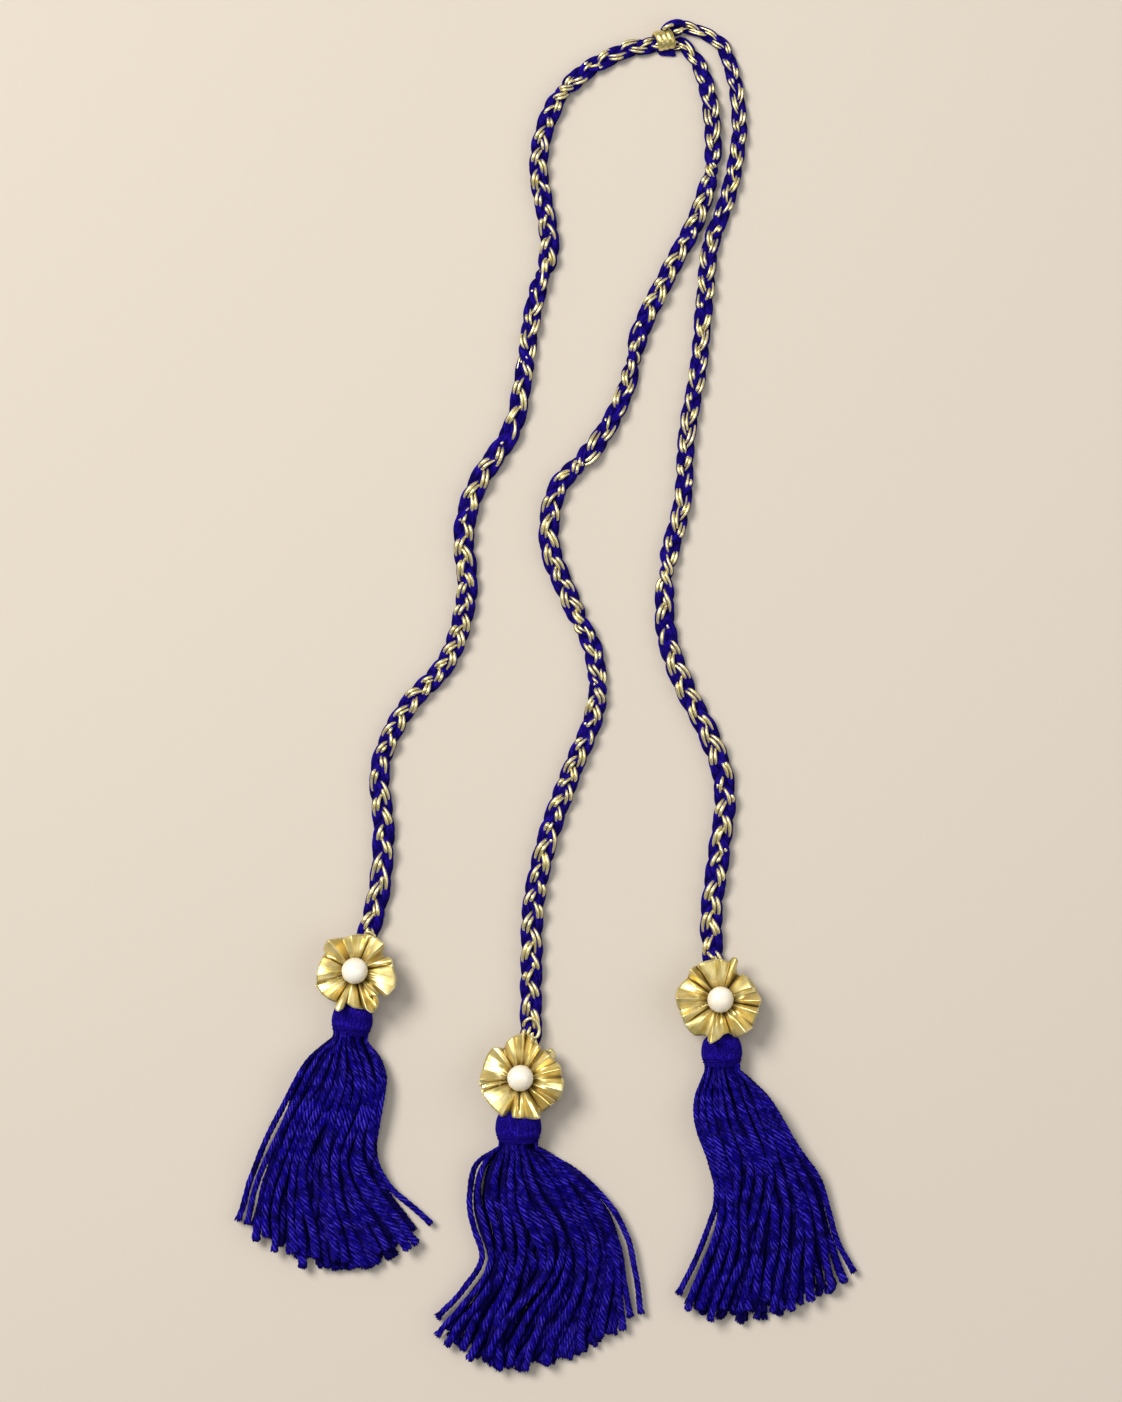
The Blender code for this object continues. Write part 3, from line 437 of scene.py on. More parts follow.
def through(points, t):
    """Catmull-Rom curve through the points; t runs from 0 to len(points) - 1."""
    p = np.asarray(points, dtype=float)
    p = np.vstack([2 * p[0] - p[1], p, 2 * p[-1] - p[-2]])
    i = np.clip(np.floor(t).astype(int), 0, len(p) - 4)
    f = (t - i)[..., None]
    a, b, c, d = p[i], p[i + 1], p[i + 2], p[i + 3]
    return 0.5 * (2 * b + (c - a) * f + (2 * a - 5 * b + 4 * c - d) * f ** 2
                  + (3 * b - a - 3 * c + d) * f ** 3)


def evenly(points, count, places=3, crisp=0.0):
    """The same curve at count even distances, and the distances.

    Distance is measured over the first few columns only, the places.  crisp
    draws the curve towards straight lines between the points.
    """
    t = np.linspace(0, len(points) - 1, 40 * len(points))
    straight = np.stack([np.interp(t, np.arange(len(points)), column)
                         for column in np.asarray(points, dtype=float).T], 1)
    fine = (1 - crisp) * through(points, t) + crisp * straight
    steps = np.linalg.norm(np.diff(fine[:, :places], axis=0), axis=1)
    run = np.concatenate([[0], np.cumsum(steps)])
    at = np.linspace(0, run[-1], count)
    return np.stack([np.interp(at, run, fine[:, k]) for k in range(fine.shape[1])], 1), at


def smooth(x):
    """0 below 0, 1 above 1, a soft step between."""
    x = np.clip(x, 0.0, 1.0)
    return x * x * (3 - 2 * x)


def unit(v):
    """Vectors of length 1."""
    return v / np.linalg.norm(v, axis=-1, keepdims=True)


def by_distance(table, run):
    """A table's second column at the distances run; its first column is distance in mm."""
    at, value = np.array(table, dtype=float).T
    return np.interp(run / MM, at, value)


def blurred(x, window):
    """x as the weighted mean of what is beside it; the ends are held."""
    return np.convolve(np.pad(x, len(window) // 2, "edge"), window / window.sum(), "valid")


def flat_frame(place):
    """Middle on the table, axis and side vector of a place given as x, y and turn."""
    x, y, turn = place
    axis = np.array([cos(radians(turn)), sin(radians(turn)), 0])
    return np.array([x * MM, y * MM, 0]), axis, np.array([-axis[1], axis[0], 0])


def wander(rng, count, t, waves):
    """Soft random curves, count of them, over t: sums of sines, about -1 to 1."""
    t = np.broadcast_to(t, (count, np.shape(t)[-1]))
    total = np.zeros(t.shape)
    for wave in waves:
        phase, size = rng.uniform(0, 2 * pi, (count, 1)), rng.uniform(0.4, 1, (count, 1))
        total += size * np.sin(2 * pi * wave * t + phase) / len(waves) ** 0.5
    return total


def mesh_object(name, points, polygons, corner_uv, deep, finish, node=None):
    """A smooth mesh from points, lists of index arrays and a UV per corner.

    Nothing goes below the table.  deep is each point's painted shade, by how far
    inside its bundle or fold it lies, and node the solid that the piece replaces.
    """
    points[:, 2] = np.maximum(points[:, 2], 0.0)
    corners = np.concatenate([p.ravel() for p in polygons]).astype(np.int32)
    sizes = np.concatenate([np.full(len(p), p.shape[1]) for p in polygons])
    starts = np.concatenate([[0], np.cumsum(sizes)[:-1]]).astype(np.int32)
    mesh = bpy.data.meshes.new(name)
    mesh.vertices.add(len(points))
    mesh.vertices.foreach_set("co", points.astype(np.float32).ravel())
    mesh.loops.add(len(corners))
    mesh.loops.foreach_set("vertex_index", corners)
    mesh.polygons.add(len(sizes))
    mesh.polygons.foreach_set("loop_start", starts)
    mesh.update(calc_edges=True)
    layer = mesh.uv_layers.new(name="UVMap")
    layer.data.foreach_set("uv", corner_uv.astype(np.float32).ravel())
    # the painted shade, as a point attribute that the finishes read
    mesh.attributes.new("deep", "FLOAT", "POINT").data.foreach_set(
        "value", deep.astype(np.float32))
    mesh.shade_smooth()
    mesh.materials.append(finish)
    obj = bpy.data.objects.new(name, mesh)
    bpy.context.scene.collection.objects.link(obj)
    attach(obj, "root")
    if node:
        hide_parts(node)
    return obj


def frames(paths, hint=UP):
    """Tangent, across and up at each point: across = tangent x hint, up = across x tangent."""
    tangent = unit(np.gradient(paths, axis=-2))
    across = unit(np.cross(tangent, np.broadcast_to(hint, tangent.shape)))
    return tangent, across, np.cross(across, tangent)


def swept(paths, wide, sides, high=None, turn=0.0, lobes=0, depth=0.0, hint=UP):
    """Points of closed tubes round the paths, rings x sides each; round where high isn't given.

    point = path + wide k cos(a) across + high k sin(a) up, where a starts from
    turn and k = 1 + depth cos(lobes (a - turn)), so ridges follow the turn.
    """
    _, across, up = frames(paths, hint)
    base = np.arange(sides) * 2 * pi / sides
    a = base + np.asarray(turn)[..., None]
    k = 1 + depth * np.cos(lobes * base)
    high = wide if high is None else high
    x = (wide[..., None] * k * np.cos(a))[..., None]
    z = (high[..., None] * k * np.sin(a))[..., None]
    return paths[..., None, :] + x * across[..., None, :] + z * up[..., None, :]


def tubes(name, batches, finish, node=None):
    """One object of closed tubes.

    A batch is its points (tubes x rings x sides, or one tube's rings x sides),
    each ring's distance and, if it has one, each ring's painted shade, by how
    deep it lies in its bundle.  The UV map is distance in mm along and share of
    the way round.
    """
    points, polygons, uvs, deeps, first = [], [[], []], [[], []], [], 0
    for ring_points, along, *inside in batches:
        ring_points = ring_points.reshape(-1, *ring_points.shape[-3:])
        k, m, n, _ = ring_points.shape
        # painted shade of each ring; none where a batch gives none
        deeps.append(np.repeat(np.broadcast_to(inside[0] if inside else 0.0, (k, m)).ravel(), n))
        index = first + np.arange(k * m * n).reshape(k, m, n)
        first += k * m * n
        points.append(ring_points.reshape(-1, 3))
        near, far = index[:, :-1], index[:, 1:]
        polygons[0].append(np.stack(
            [near, far, np.roll(far, -1, 2), np.roll(near, -1, 2)], -1).reshape(-1, 4))
        s = np.broadcast_to(along / MM, (k, m))[..., None] * np.ones(n)
        v = np.broadcast_to(np.arange(n) / n, s.shape)
        a, b, va = s[:, :-1], s[:, 1:], v[:, :-1]
        uvs[0].append(np.stack([np.stack([a, va], -1), np.stack([b, va], -1),
                                np.stack([b, va + 1 / n], -1),
                                np.stack([a, va + 1 / n], -1)], -2).reshape(-1, 2))
        polygons[1].append(np.concatenate([index[:, 0], index[:, -1, ::-1]]))
        uvs[1].append(np.concatenate([np.stack([s[:, 0], v[:, 0]], -1),
                                      np.stack([s[:, -1], v[:, -1]], -1)]).reshape(-1, 2))
    caps = {}
    for cap, uv in zip(polygons[1], uvs[1]):
        group = caps.setdefault(cap.shape[1], [[], []])
        group[0].append(cap)
        group[1].append(uv)
    faces = [np.concatenate(polygons[0])] + [np.concatenate(g[0]) for g in caps.values()]
    corner_uv = [np.concatenate(uvs[0])] + [np.concatenate(g[1]) for g in caps.values()]
    return mesh_object(name, np.concatenate(points), faces, np.concatenate(corner_uv),
                       np.concatenate(deeps), finish, node)


def rounded(count, length, end):
    """Share of the radius that rounds both ends: a circle's quarter over the end."""
    s = np.linspace(0, length, count)
    near = np.clip(np.minimum(s, length - s) / end, 0, 1)
    return np.sqrt(np.clip(1 - (1 - near) ** 2, 0.02, 1))


def hand_placed(points, count, radius, end):
    """A round tube through points in mm, with rounded ends: its line, distances and radii."""
    line, run = evenly(np.array(points) * MM, count)
    return line, run, radius * rounded(count, run[-1], end)


# ---------------------------------------------------------------- finishes

class Signal:
    """A number that changes over a surface; arithmetic on it adds Math nodes."""

    def __init__(self, finish, socket):
        self.finish, self.socket = finish, socket

    def math(self, operation, a, b):
        return self.finish.node("ShaderNodeMath", {"operation": operation}, {0: a, 1: b})

    def __add__(self, other):
        return self.math("ADD", self, other)

    __radd__ = __add__

    def __sub__(self, other):
        return self.math("SUBTRACT", self, other)

    def __rsub__(self, other):
        return self.math("SUBTRACT", other, self)

    def __mul__(self, other):
        return self.math("MULTIPLY", self, other)

    __rmul__ = __mul__

    def __pow__(self, other):
        return self.math("POWER", self, other)


class Finish:
    """A Principled material.  plain: values that are the same all over it."""

    def __init__(self, name, plain):
        self.material = bpy.data.materials.new(name)
        self.material.use_nodes = True
        self.tree = self.material.node_tree
        self.shader = self.tree.nodes["Principled BSDF"]
        for socket, value in plain.items():
            self.shader.inputs[socket].default_value = value

    def put(self, socket, value):
        """Link a signal to an input, or set the input's value."""
        if isinstance(value, Signal):
            self.tree.links.new(value.socket, socket)
        else:
            socket.default_value = value

    def node(self, kind, settings, inputs, output=0):
        """Add a node: its settings first, then its inputs; gives one output."""
        node = self.tree.nodes.new(kind)
        for key, value in settings.items():
            if key == "stops":
                for stop, (place, colour) in zip(node.color_ramp.elements, value):
                    stop.position, stop.color = place, colour
            else:
                setattr(node, key, value)
        for key, value in inputs.items():
            self.put(node.inputs[key], value)
        return Signal(self, node.outputs[output])

    def uv(self, scale):
        """The piece's own UV map, scaled."""
        place = self.node("ShaderNodeUVMap", {"uv_map": "UVMap"}, {})
        return self.node("ShaderNodeMapping", {}, {"Vector": place, "Scale": scale})

    def place(self, scale=(1.0, 1.0, 1.0)):
        """Object coordinates, scaled."""
        place = self.node("ShaderNodeTexCoord", {}, {}, "Object")
        return self.node("ShaderNodeMapping", {}, {"Vector": place, "Scale": scale})

    def noise(self, vector, scale, detail=3.0, rough=0.55):
        """Soft noise, about 0.3 to 0.7."""
        return self.node("ShaderNodeTexNoise", {}, {
            "Vector": vector, "Scale": scale, "Detail": detail, "Roughness": rough})

    def step(self, value, low, high):
        """0 below low, 1 above high, a soft step between."""
        return self.node("ShaderNodeMapRange", {"interpolation_type": "SMOOTHSTEP"}, {
            "Value": value, "From Min": low, "From Max": high})

    def mix(self, factor, first, second):
        """Colour between first and second."""
        return self.node("ShaderNodeMix", {"data_type": "RGBA"},
                         {0: factor, 6: first, 7: second}, 2)

    def bump(self, height, strength, distance):
        """Relief of a height, on the shader's Normal."""
        normal = self.node("ShaderNodeBump", {}, {
            "Height": height, "Strength": strength, "Distance": distance})
        self.put(self.shader.inputs["Normal"], normal)

    def deep(self):
        """Painted shade: the mesh's own attribute, by how deep a place lies in its bundle or fold.
        """
        return self.node("ShaderNodeAttribute", {"attribute_name": "deep"}, {}, 2)

    def feed(self, socket, value):
        """Give one of the shader's inputs a signal or a value."""
        self.put(self.shader.inputs[socket], value)


def rgb(red, green, blue):
    """A colour from sRGB 0-255."""
    c = np.array([red, green, blue]) / 255
    c = np.where(c <= 0.04045, c / 12.92, ((c + 0.055) / 1.055) ** 2.4)
    return (*[float(x) for x in c], 1.0)


def yarn_finish(name, dark, mid, light, fibres, plies=0, strokes=0.0):
    """Dyed yarn: fibres along it, painted shade between its plies, a little fuzz and a sheen.

    The tone goes from dark to mid with the fibres, with painted shade in the
    grooves between the plies and painted highlights on their ridges; strokes is
    how pale the short marks along the fibres are.  Painted shade darkens a yarn
    to near black where it lies deep in its bundle.
    """
    f = Finish(name, {"Roughness": 0.86, "Specular IOR Level": 0.04,
                      "Sheen Weight": 0.09, "Sheen Roughness": 0.40,
                      "Sheen Tint": (0.10, 0.06, 1.0, 1.0)})
    fibre = f.noise(f.uv((0.35, fibres, 1.0)), 1.0, 4.0, 0.6)
    fuzz = f.noise(f.place(), 2600.0, 3.0, 0.6)
    patch = f.noise(f.place(), 420.0, 2.0)
    tone = f.mix(f.step(fibre, 0.36, 0.66), dark, mid)
    if plies:
        way_round = f.node("ShaderNodeSeparateXYZ", {}, {0: f.uv((1.0, plies, 1.0))}, 1)
        wave = f.node("ShaderNodeMath", {"operation": "COSINE"}, {0: way_round * (2 * pi)})
        ridge = wave * 0.5 + 0.5
        # painted shade in the grooves between the plies
        tone = f.mix((1 - ridge) ** 1.6 * 0.60, tone, dark)
        # painted highlight (glint) along the ridges of the plies
        glint = ridge ** 3.0 * f.step(fibre * 0.7 + patch * 0.3, 0.46, 0.62)
        tone = f.mix(glint * 0.66, tone, light)
    if strokes:
        tone = f.mix(f.step(fibre * 0.55 + fuzz * 0.45, 0.50, 0.62) * strokes, tone, light)
    tone = f.mix(f.step(fuzz * 0.7 + patch * 0.3, 0.50, 0.68) * 0.16, tone, light)
    # painted shade: near black where the yarn lies deep in its bundle
    f.feed("Base Color", f.mix(f.deep() * 0.85, tone, (0.0015, 0.0004, 0.030, 1.0)))
    f.bump(fibre * 0.8 + fuzz * 0.4, 0.75, 0.00022)
    return f.material


def gold_cord_finish(name, fineness, grain_share):
    """Metal thread laid side by side into a soft cord: bright, with a faint slanting twist.

    fineness is the number of threads round it, grain_share how much of the tone is grain.
    """
    f = Finish(name, {"Metallic": 0.86, "Specular IOR Level": 0.6})
    slant = f.node("ShaderNodeTexWave", {"wave_type": "BANDS", "bands_direction": "DIAGONAL"}, {
        "Vector": f.uv((0.8, 2.0, 1.0)), "Scale": 1.0, "Distortion": 0.8, "Detail": 1.0}, 1)
    threads = f.noise(f.uv((0.35, fineness, 1.0)), 1.0, 3.0, 0.6)
    grain = f.noise(f.place(), 1500.0, 2.0)
    f.feed("Base Color", f.mix(f.step(threads * 0.6 + slant * 0.12 + grain * grain_share,
                                      0.32, 0.66),
                               rgb(208, 188, 106), rgb(254, 243, 188)))
    f.feed("Roughness", 0.26 + grain * 0.18)
    f.bump(slant * 0.30 + threads * 0.7 + grain * 0.2, 0.42, 0.00012)
    return f.material


def ribbon_finish():
    """Metal-thread ribbon: satin planes with faint ribs across, a pale hem, painted shade.

    The UV map is mm along it and mm from the gathered edge.  Painted shade darkens
    the folds, the places where two petals part, the cut ends and the gathered
    edge under the pearl.
    """
    f = Finish("gold ribbon", {"Metallic": 0.74, "Specular IOR Level": 0.5,
                               "Coat Weight": 0.5, "Coat Roughness": 0.30})
    ribs = f.noise(f.uv((1.7, 0.07, 1.0)), 1.0, 3.0, 0.75)
    crumple = f.noise(f.place(), 300.0, 2.0, 0.5)
    across = f.node("ShaderNodeSeparateXYZ", {}, {0: f.uv((1.0, 1.0, 1.0))}, 1)
    # painted shade near the gathered edge, under the pearl
    gathered_shade = 1 - f.step(across, 0.8, 5.4)
    hem = f.step(across, 10.15, 10.45)
    tone = f.mix(f.step(ribs * 0.5 + crumple * 0.5, 0.30, 0.70),
                 rgb(206, 180, 86), rgb(250, 232, 166))
    # painted shade in the folds, where two petals part and at the cut ends
    tone = f.mix(f.deep() * 0.94, tone, rgb(98, 76, 20))
    tone = f.mix(gathered_shade * 0.58, tone, rgb(134, 108, 36))
    f.feed("Base Color", f.mix(hem * 0.5, tone, rgb(250, 238, 186)))
    f.feed("Roughness", 0.27 + crumple * 0.20)
    f.bump(ribs * 0.7 + crumple * 0.3, 0.26, 0.00020)
    return f.material


def pearl_finish():
    """Nacre: warm white under a soft coat, with faint cloudy bands."""
    f = Finish("pearl", {"Metallic": 0.06, "Roughness": 0.36, "Specular IOR Level": 0.6,
                         "Coat Weight": 0.55, "Coat Roughness": 0.30})
    cloud = f.noise(f.place((1.0, 1.0, 2.0)), 190.0, 2.0)
    f.feed("Base Color", f.mix(f.step(cloud, 0.38, 0.62), rgb(250, 238, 214), rgb(255, 250, 236)))
    f.bump(f.noise(f.place(), 700.0, 1.0), 0.06, 0.0002)
    return f.material


# ---------------------------------------------------------------- camera, light

def camera_and_light():
    """A long lens straight above, three soft lamps, an even fill and a plain pale floor.

    The key is at the upper left; weak lamps overhead and at the right open its
    shadows.  The lens shows cover metres from top to bottom at plane, which is
    how high the cords lie over the table.
    """
    scene = bpy.context.scene
    scene.view_settings.view_transform = "Standard"
    distance, cover, plane, sensor = 1.2, 0.4206, 0.004, 36.0
    camera = bpy.data.objects.new("camera", bpy.data.cameras.new("camera"))
    camera.data.sensor_width = sensor
    camera.data.lens = sensor * (distance - plane) / cover
    camera.location = (0.00435, -0.0003, distance)
    scene.collection.objects.link(camera)
    scene.camera = camera

    for name, where, size, power, colour in (
            ("key", (-0.94, 0.74, 1.66), 0.92, 39.5, (1.0, 0.975, 0.945)),
            ("overhead", (-0.10, 0.22, 1.70), 0.60, 4.6, (1.0, 0.98, 0.95)),
            ("side", (0.95, -0.10, 1.00), 1.30, 4.0, (0.98, 0.98, 1.0))):
        lamp = bpy.data.lights.new(name, "AREA")
        lamp.shape, lamp.size, lamp.energy, lamp.color = "DISK", size, power, colour
        light = bpy.data.objects.new(name, lamp)
        light.location = where
        light.rotation_euler = Vector(where).to_track_quat("Z", "Y").to_euler()
        scene.collection.objects.link(light)
    world = bpy.data.worlds.new("studio")
    world.use_nodes = True
    fill = world.node_tree.nodes["Background"].inputs
    fill["Color"].default_value = (0.94, 0.96, 1.0, 1.0)
    fill["Strength"].default_value = 0.23
    scene.world = world

    reach = 3.0
    mesh = bpy.data.meshes.new("floor")
    mesh.from_pydata([(-reach, -reach, 0), (reach, -reach, 0), (reach, reach, 0),
                      (-reach, reach, 0)], [], [(0, 1, 2, 3)])
    mesh.materials.append(Finish("floor", {"Base Color": rgb(208, 198, 184), "Roughness": 0.9,
                                           "Specular IOR Level": 0.1}).material)
    floor = bpy.data.objects.new("floor", mesh)
    scene.collection.objects.link(floor)


# ---------------------------------------------------------------- plaited cords

def head_height(tassel):
    """Height of a head's axis above the table."""
    return AXIS_HEIGHT * tassel.radius * MM


def head_frame(tassel):
    """Neck, axis towards the skirt, and the side vector."""
    turn = radians(tassel.turn)
    neck = np.array([tassel.neck_x * MM, tassel.neck_y * MM, head_height(tassel)])
    return neck, np.array([sin(turn), -cos(turn), 0]), np.array([cos(turn), sin(turn), 0])


def cord_path(side):
    """Centreline of a plait on the table, its distances, its size, and where it leaves the binding.

    It starts inside the binding, follows its route at the height that its size
    gives it, and rises into its head over the last stretch.
    """
    start, tassel = STARTS[side], TASSELS[side]
    neck, axis, _ = head_frame(tassel)
    top = neck - axis * (BALL_FOOT + 1.10 * tassel.radius * MM + 1.6 * GAP)
    middle, along, across = flat_frame(BINDING)
    gate = middle + along * (start.end * (BIND_LENGTH / 2 + 1.6 * GAP)) + across * (
        start.offset * MM)
    inside = gate - along * (start.end * INTO_BINDING)
    lead = gate + along * (start.end * 1.3 * MM)
    path = [inside[:2], gate[:2], lead[:2]]
    path += [(x * MM, y * MM) for x, y in ROUTES[side]]
    path += [top[:2] - axis[:2] * 3 * MM, top[:2], top[:2] + axis[:2] * INTO_HEAD]
    length = evenly(path, 2, 2)[1][-1]
    flat, run = evenly(path, int(round(length / PLAIT_STEP)) + 1, 2)
    size = by_distance(SIZES[side], run)
    climb = smooth(1 - (length - INTO_HEAD - run) / PLAIT_CLIMB)
    height = CORD_Z * size + (0.85 * head_height(tassel) - CORD_Z) * climb
    return np.column_stack([flat, height]), run, size, gate


def plait(side, seed, blue, gold):
    """Three strands that pass over and under each other along the path.

    A strand swings sideways as sin(phase) and rises as sin(2 phase); it takes
    three lobes to swing out and back, and its phase runs ahead by haste times
    sin(2 phase), so it crosses steeply and then lies along the edge.  The whole
    plait turns over as TURNS says.  Gold cords ride on each strand.  One comes
    out of the yarn where the strand crosses over and dips back in at the edge:
    it is out while |phase - middle of the crossing| is under its own width.
    """
    path, run, size, gate = cord_path(side)
    rng = np.random.default_rng(seed)
    _, across, up = frames(path)
    share = run / run[-1]
    over = blurred(np.radians(by_distance(TURNS[side], run)), np.ones(11))
    pace = 2 * pi / (3 * MM * by_distance(LOBES[side], run))
    swung = np.concatenate([[0], np.cumsum((pace[1:] + pace[:-1]) / 2 * np.diff(run))])
    blues, golds = [], []
    twist = wander(rng, 3, share, (3.1, 5.7, 9.3))
    swell = 1 + 0.07 * wander(rng, 3, share, (9.0, 17.0, 29.0))
    for k in range(3):
        turn = swung + 2 * pi * k / 3 + 0.14 * wander(rng, 1, share, (6.0, 11.0))[0]
        phase = turn + PLAIT_HASTE * np.sin(2 * turn)
        x = PLAIT_SWING * np.sin(phase)
        z = PLAIT_RISE * np.sin(2 * phase)
        px = size * (x * np.cos(over) - z * np.sin(over))
        pz = size * (x * np.sin(over) * 0.80 + z * np.cos(over))
        line = path + across * px[:, None] + up * pz[:, None]
        wide = BUNDLE_WIDE * size * swell[k] * (1 + 0.10 * np.sin(phase) ** 2)
        high = BUNDLE_HIGH * size * swell[k]
        # painted shade: a strand darkens where it dips under the other two
        under = 0.85 * smooth(0.25 - 0.9 * pz / (size * PLAIT_RISE))
        blues.append((swept(line, wide, 14, high, 2 * pi * run / BUNDLE_TURN + k, 7, 0.05),
                      run, under))
        # the half of the plait that faces up decides which crossing shows
        seen = turn + np.where(np.cos(over) > 0, 0.0, pi / 2)
        _, strand_across, strand_up = frames(line)
        for place in GOLD_PLACES:
            round_it = pi / 2 + 0.34 * twist[k] + place + 0.08 * wander(
                rng, 1, share, (7.0, 13.0))[0]
            width = np.maximum(GOLD_SHOWS * (1.0 + 0.85 * wander(
                rng, 1, share, (13.0, 23.0, 37.0))[0]), -0.3)
            middle = GOLD_MIDDLE + 0.18 * wander(rng, 1, share, (11.0, 19.0))[0]
            apart = np.abs((seen - middle + pi / 2) % pi - pi / 2)
            out = smooth((width - apart) / 0.36 + 0.5)
            belly = smooth(1 - apart / np.maximum(width + 0.2, 0.2))
            reach = 0.12 + 0.88 * out + 0.06 * belly
            lay = line + strand_across * (wide * reach * np.cos(round_it))[:, None] + (
                strand_up * (high * reach * np.sin(round_it))[:, None])
            golds.append((swept(lay, GOLD_THREAD * size * (0.42 + 0.12 * out + 0.52 * belly), 7),
                          run))
    if side in BOWS:
        line, along, r = hand_placed(BOWS[side], 40, BOW_YARN, 1.6 * MM)
        blues.append((swept(line, r, 14, lobes=7, depth=0.05), along))
    for curl in CURLS[side]:
        line, along, r = hand_placed(curl, 26, GOLD_THREAD, 0.6 * MM)
        golds.append((swept(line, r, 7), along))
    body = tubes("plait_" + side, blues, blue, "cord_" + side)
    thread = tubes("plait_gold_" + side, golds, gold)
    tuple(gate + np.array([0, 0, CORD_Z]))


# ---------------------------------------------------------------- tassels

def skirt_place(tassel, rows, u, x):
    """Place on the table at share u down the skirt and x across, arrays alike.

    A section is a bow through its left edge, lowest point and right edge:
    middle + (right - left) x / 2 + ((left + right) / 2 - middle) x^2.
    """
    neck, axis, side = head_frame(tassel)
    half = side[:2] * (ROOT_RADIUS * tassel.radius * MM)
    root = neck[:2] + axis[:2] * COLLAR
    table = [[*(root - half), *root, *(root + half)]]
    table += [[c * MM for c in row[1:7]] for row in rows]
    p = through(table, np.asarray(u) * (len(table) - 1))
    left, mid, right = p[..., 0:2], p[..., 2:4], p[..., 4:6]
    x = np.asarray(x)[..., None]
    return mid + (right - left) * (x / 2) + ((left + right) / 2 - mid) * x * x


def skirt_levels(tassel, rows, u, x):
    """Underside and top of the skirt: a disc at the neck, flat on the table below."""
    zc, r = head_height(tassel), ROOT_RADIUS * tassel.radius * MM
    disc = HEAD_FLATTEN * r * np.sqrt(np.maximum(1 - (0.88 * x) ** 2, 0))
    thick = np.interp(u, [0.0] + [row[0] for row in rows],
                      [tassel.crown] + [row[7] for row in rows]) * MM
    fall = smooth(u / 0.22)
    top = (1 - fall) * (zc + disc) + fall * thick * (1 - 0.18 * x * x)
    return (1 - smooth(u / 0.10)) * (zc - disc), top


def on_table(routes, grid):
    """Routes given in a grid's steps, as x, y in mm to a tenth."""
    return [[(round(grid.left + grid.step * right, 1), round(grid.back - grid.step * front, 1))
             for right, front in route] for route in routes]


def lanes(tassel, rows, routes, u):
    """How far across each route is at the stations u, and the share where it ends.

    Every point of a route takes the nearest place of a fine net over the skirt.
    """
    net_u, net_x = np.meshgrid(np.linspace(0, 1.06, 150), np.linspace(-1.03, 1.03, 91),
                               indexing="ij")
    net = skirt_place(tassel, rows, net_u, net_x).reshape(-1, 2)
    across, ends = [], []
    for route in routes:
        line, _ = evenly(np.array(route) * MM, 80, 2)
        nearest = ((line[:, None] - net[None]) ** 2).sum(-1).argmin(1)
        at_u, at_x = net_u.ravel()[nearest], net_x.ravel()[nearest]
        order = np.argsort(at_u, kind="stable")
        across.append(blurred(np.interp(u, at_u[order], at_x[order]), np.ones(5)))
        ends.append(at_u.max())
    return np.array(across), np.array(ends)


def settled(across, height, radius, held, low, high, floor, top):
    """Yarns pushed apart in every cross-section until they hardly overlap.

    across, height and radius are yarns x stations.  Each round moves every pair
    that is nearer than their two radii, lets all sink a little, keeps them inside
    the skirt and smooths each yarn along its length.  The last yarns, held of
    them, lie on top and keep their way across.
    """
    free = np.ones((len(across), 1))
    free[-held:] = 0.0
    over = np.zeros((len(across), len(across), 1))
    over[-held:, :-held], over[:-held, -held:] = 1.0, -1.0
    same = np.arange(len(across))
    touching = 0.97 * (radius[:, None] + radius[None])
    ceiling = np.maximum(top + np.where(free > 0, -1.1 * MM, 1.0 * MM), floor + 2 * radius)
    for turn in range(SETTLING_ROUNDS):
        dx = across[:, None] - across[None]
        dz = height[:, None] - height[None]
        gap = np.sqrt(dx * dx + dz * dz) + 1e-9
        push = np.clip(touching - gap, 0, None)
        push[same, same] = 0
        across = across + free * np.clip((push * dx / gap).sum(1) * 0.30, -0.3 * MM, 0.3 * MM)
        lift = np.where(over != 0, 0.5 * over + 0.5 * dz / gap, dz / gap)
        height = height + np.clip((push * lift).sum(1) * 0.30, -0.35 * MM, 0.35 * MM)
        if turn < SETTLING_ROUNDS - 12:
            height = height - 0.035 * MM
        across = np.where(free > 0, np.clip(across, low + radius, high - radius), across)
        height = np.clip(height, floor + radius, ceiling - radius)
        if turn < SETTLING_ROUNDS - 3:
            for field, share in ((across, 0.5 * free), (height, 0.5)):
                inner = 0.25 * field[:, :-2] + 0.5 * field[:, 1:-1] + 0.25 * field[:, 2:]
                field[:, 1:-1] += share * (inner - field[:, 1:-1])
    return across, height


def read_at(values, stations):
    """Each row of values at its own stations, counted in columns."""
    return np.stack([np.interp(at, np.arange(len(row)), row)
                     for row, at in zip(values, stations)])


